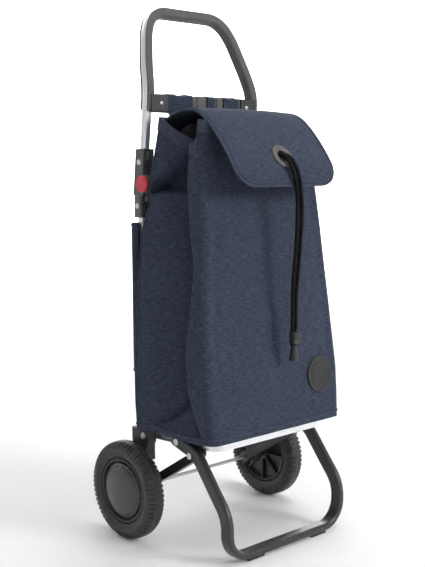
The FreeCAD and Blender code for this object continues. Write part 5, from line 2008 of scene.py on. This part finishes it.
@dataclass
class Studio:
    """Pale floor and backdrop, soft lights and the camera.

    Attributes:
        eye: the camera's place.
        azimuth: degrees that the view turns from +Y.
        elevation: degrees that it looks down.
        roll: degrees of tilt.
        lens: focal length in millimetres on the sensor.
        sensor: the sensor's width in millimetres.
        lights: name, place, watts, side and target of each soft light.
        floor_line: distance from the middle and height of each of the floor's rings.
        sky: strength of the even light from all round.
    """

    eye: tuple = (-1.34287, -1.39836, 0.72058)
    azimuth: float = -42.93
    elevation: float = 6.87
    roll: float = 0.144
    lens: float = 63.156
    sensor: float = 36.0
    lights: tuple = (
        ("key", (1.1, -3.0, 1.7), 58.0, 1.1, (0.0, 0.0, 0.5)),
        ("top", (0.3, -0.2, 3.2), 48.0, 2.0, (0.0, 0.0, 0.5)),
        ("paper_left", (-0.5, 3.6, 3.6), 170.0, 2.5, (1.5, 7.0, 0.8)),
        ("paper_right", (3.6, 2.8, 3.6), 380.0, 2.5, (6.4, 5.6, 0.8)),
    )
    floor_line: tuple = ((0.0, 0.0), (1.0, 0.0), (3.0, 0.0), (5.0, 0.0), (6.5, 0.15), (7.2, 0.5), (7.5, 1.2),
                         (7.6, 3.0), (7.6, 9.0))
    sky: float = 0.09

    def make_camera(self) -> None:
        """Places the camera with its right, up and back directions."""
        a, e, roll = math.radians(self.azimuth), math.radians(self.elevation), math.radians(self.roll)
        back = Vector((math.sin(a) * math.cos(e), -math.cos(a) * math.cos(e), math.sin(e)))
        right = (-back).cross(Vector((0, 0, 1))).normalized()
        up = right.cross(-back)
        right, up = right * math.cos(roll) + up * math.sin(roll), up * math.cos(roll) - right * math.sin(roll)
        data = bpy.data.cameras.new("camera")
        data.lens = self.lens
        data.sensor_width = self.sensor
        data.sensor_fit = "AUTO"
        camera = bpy.data.objects.new("camera", data)
        matrix = Matrix((right, up, back)).transposed().to_4x4()
        matrix.translation = Vector(self.eye)
        camera.matrix_world = matrix
        bpy.context.scene.collection.objects.link(camera)
        bpy.context.scene.camera = camera

    def make_floor(self) -> None:
        """A pale floor that curves up far behind the trolley on every side."""
        rings, rises = np.transpose(self.floor_line)
        angles = np.linspace(0, math.tau, 96, endpoint=False)
        points = np.stack([rings[:, None] * np.cos(angles), rings[:, None] * np.sin(angles),
                           np.broadcast_to(rises[:, None], (len(rings), len(angles)))], axis=2)
        floor = Shell().grid(points, close_columns=True).build("floor", 80)
        material, graph, shader = blank_material("floor_paper")
        grain = EFFECTS.place(graph, EFFECTS.grain, Vector=object_place(graph), Scale=300.0)
        colour = graph.ramp(grain.outputs["Patch"], [(0.3, (0.93, 0.93, 0.93)), (0.7, (0.95, 0.95, 0.95))])
        graph.tree.links.new(colour, shader.inputs["Base Color"])
        shader.inputs["Roughness"].default_value = 0.9
        floor.data.materials.append(material)

    def make_light(self, name: str, place: Sequence[float], power: float, size: float,
                   target: Sequence[float]) -> None:
        """A square soft light.

        Args:
            name: the light's name.
            place: where it stands.
            power: watts.
            size: its side.
            target: what it faces.
        """
        data = bpy.data.lights.new(name, "AREA")
        data.energy = power
        data.size = size
        light = bpy.data.objects.new(name, data)
        aim = Vector(target) - Vector(place)
        turn = aim.to_track_quat("-Z", "Y").to_matrix().to_4x4()
        light.matrix_world = Matrix.Translation(Vector(place)) @ turn
        bpy.context.scene.collection.objects.link(light)

    def make(self) -> None:
        """Builds the whole studio."""
        self.make_camera()
        self.make_floor()
        for light in self.lights:
            self.make_light(*light)
        world = bpy.data.worlds.new("studio")
        world.use_nodes = True
        background = world.node_tree.nodes["Background"]
        background.inputs[0].default_value = (1.0, 1.0, 1.0, 1.0)
        background.inputs[1].default_value = self.sky
        bpy.context.scene.world = world
        bpy.context.scene.view_settings.view_transform = "Standard"


def main() -> None:
    """Builds the studio, then the trolley from the cords inward."""
    logging.basicConfig(level=logging.INFO, format="%(message)s")
    Studio().make()
    Drawcord().make()
    Flap().make()
    Bag().make()
    Sleeve().make()
    HangingLoops().make()
    Handle().make()
    for side in Side:
        FoldJoint(side).make()
        Wheel(side).make()
    Undercarriage().make()
    Badge().make()


if __name__ == "__main__":
    main()
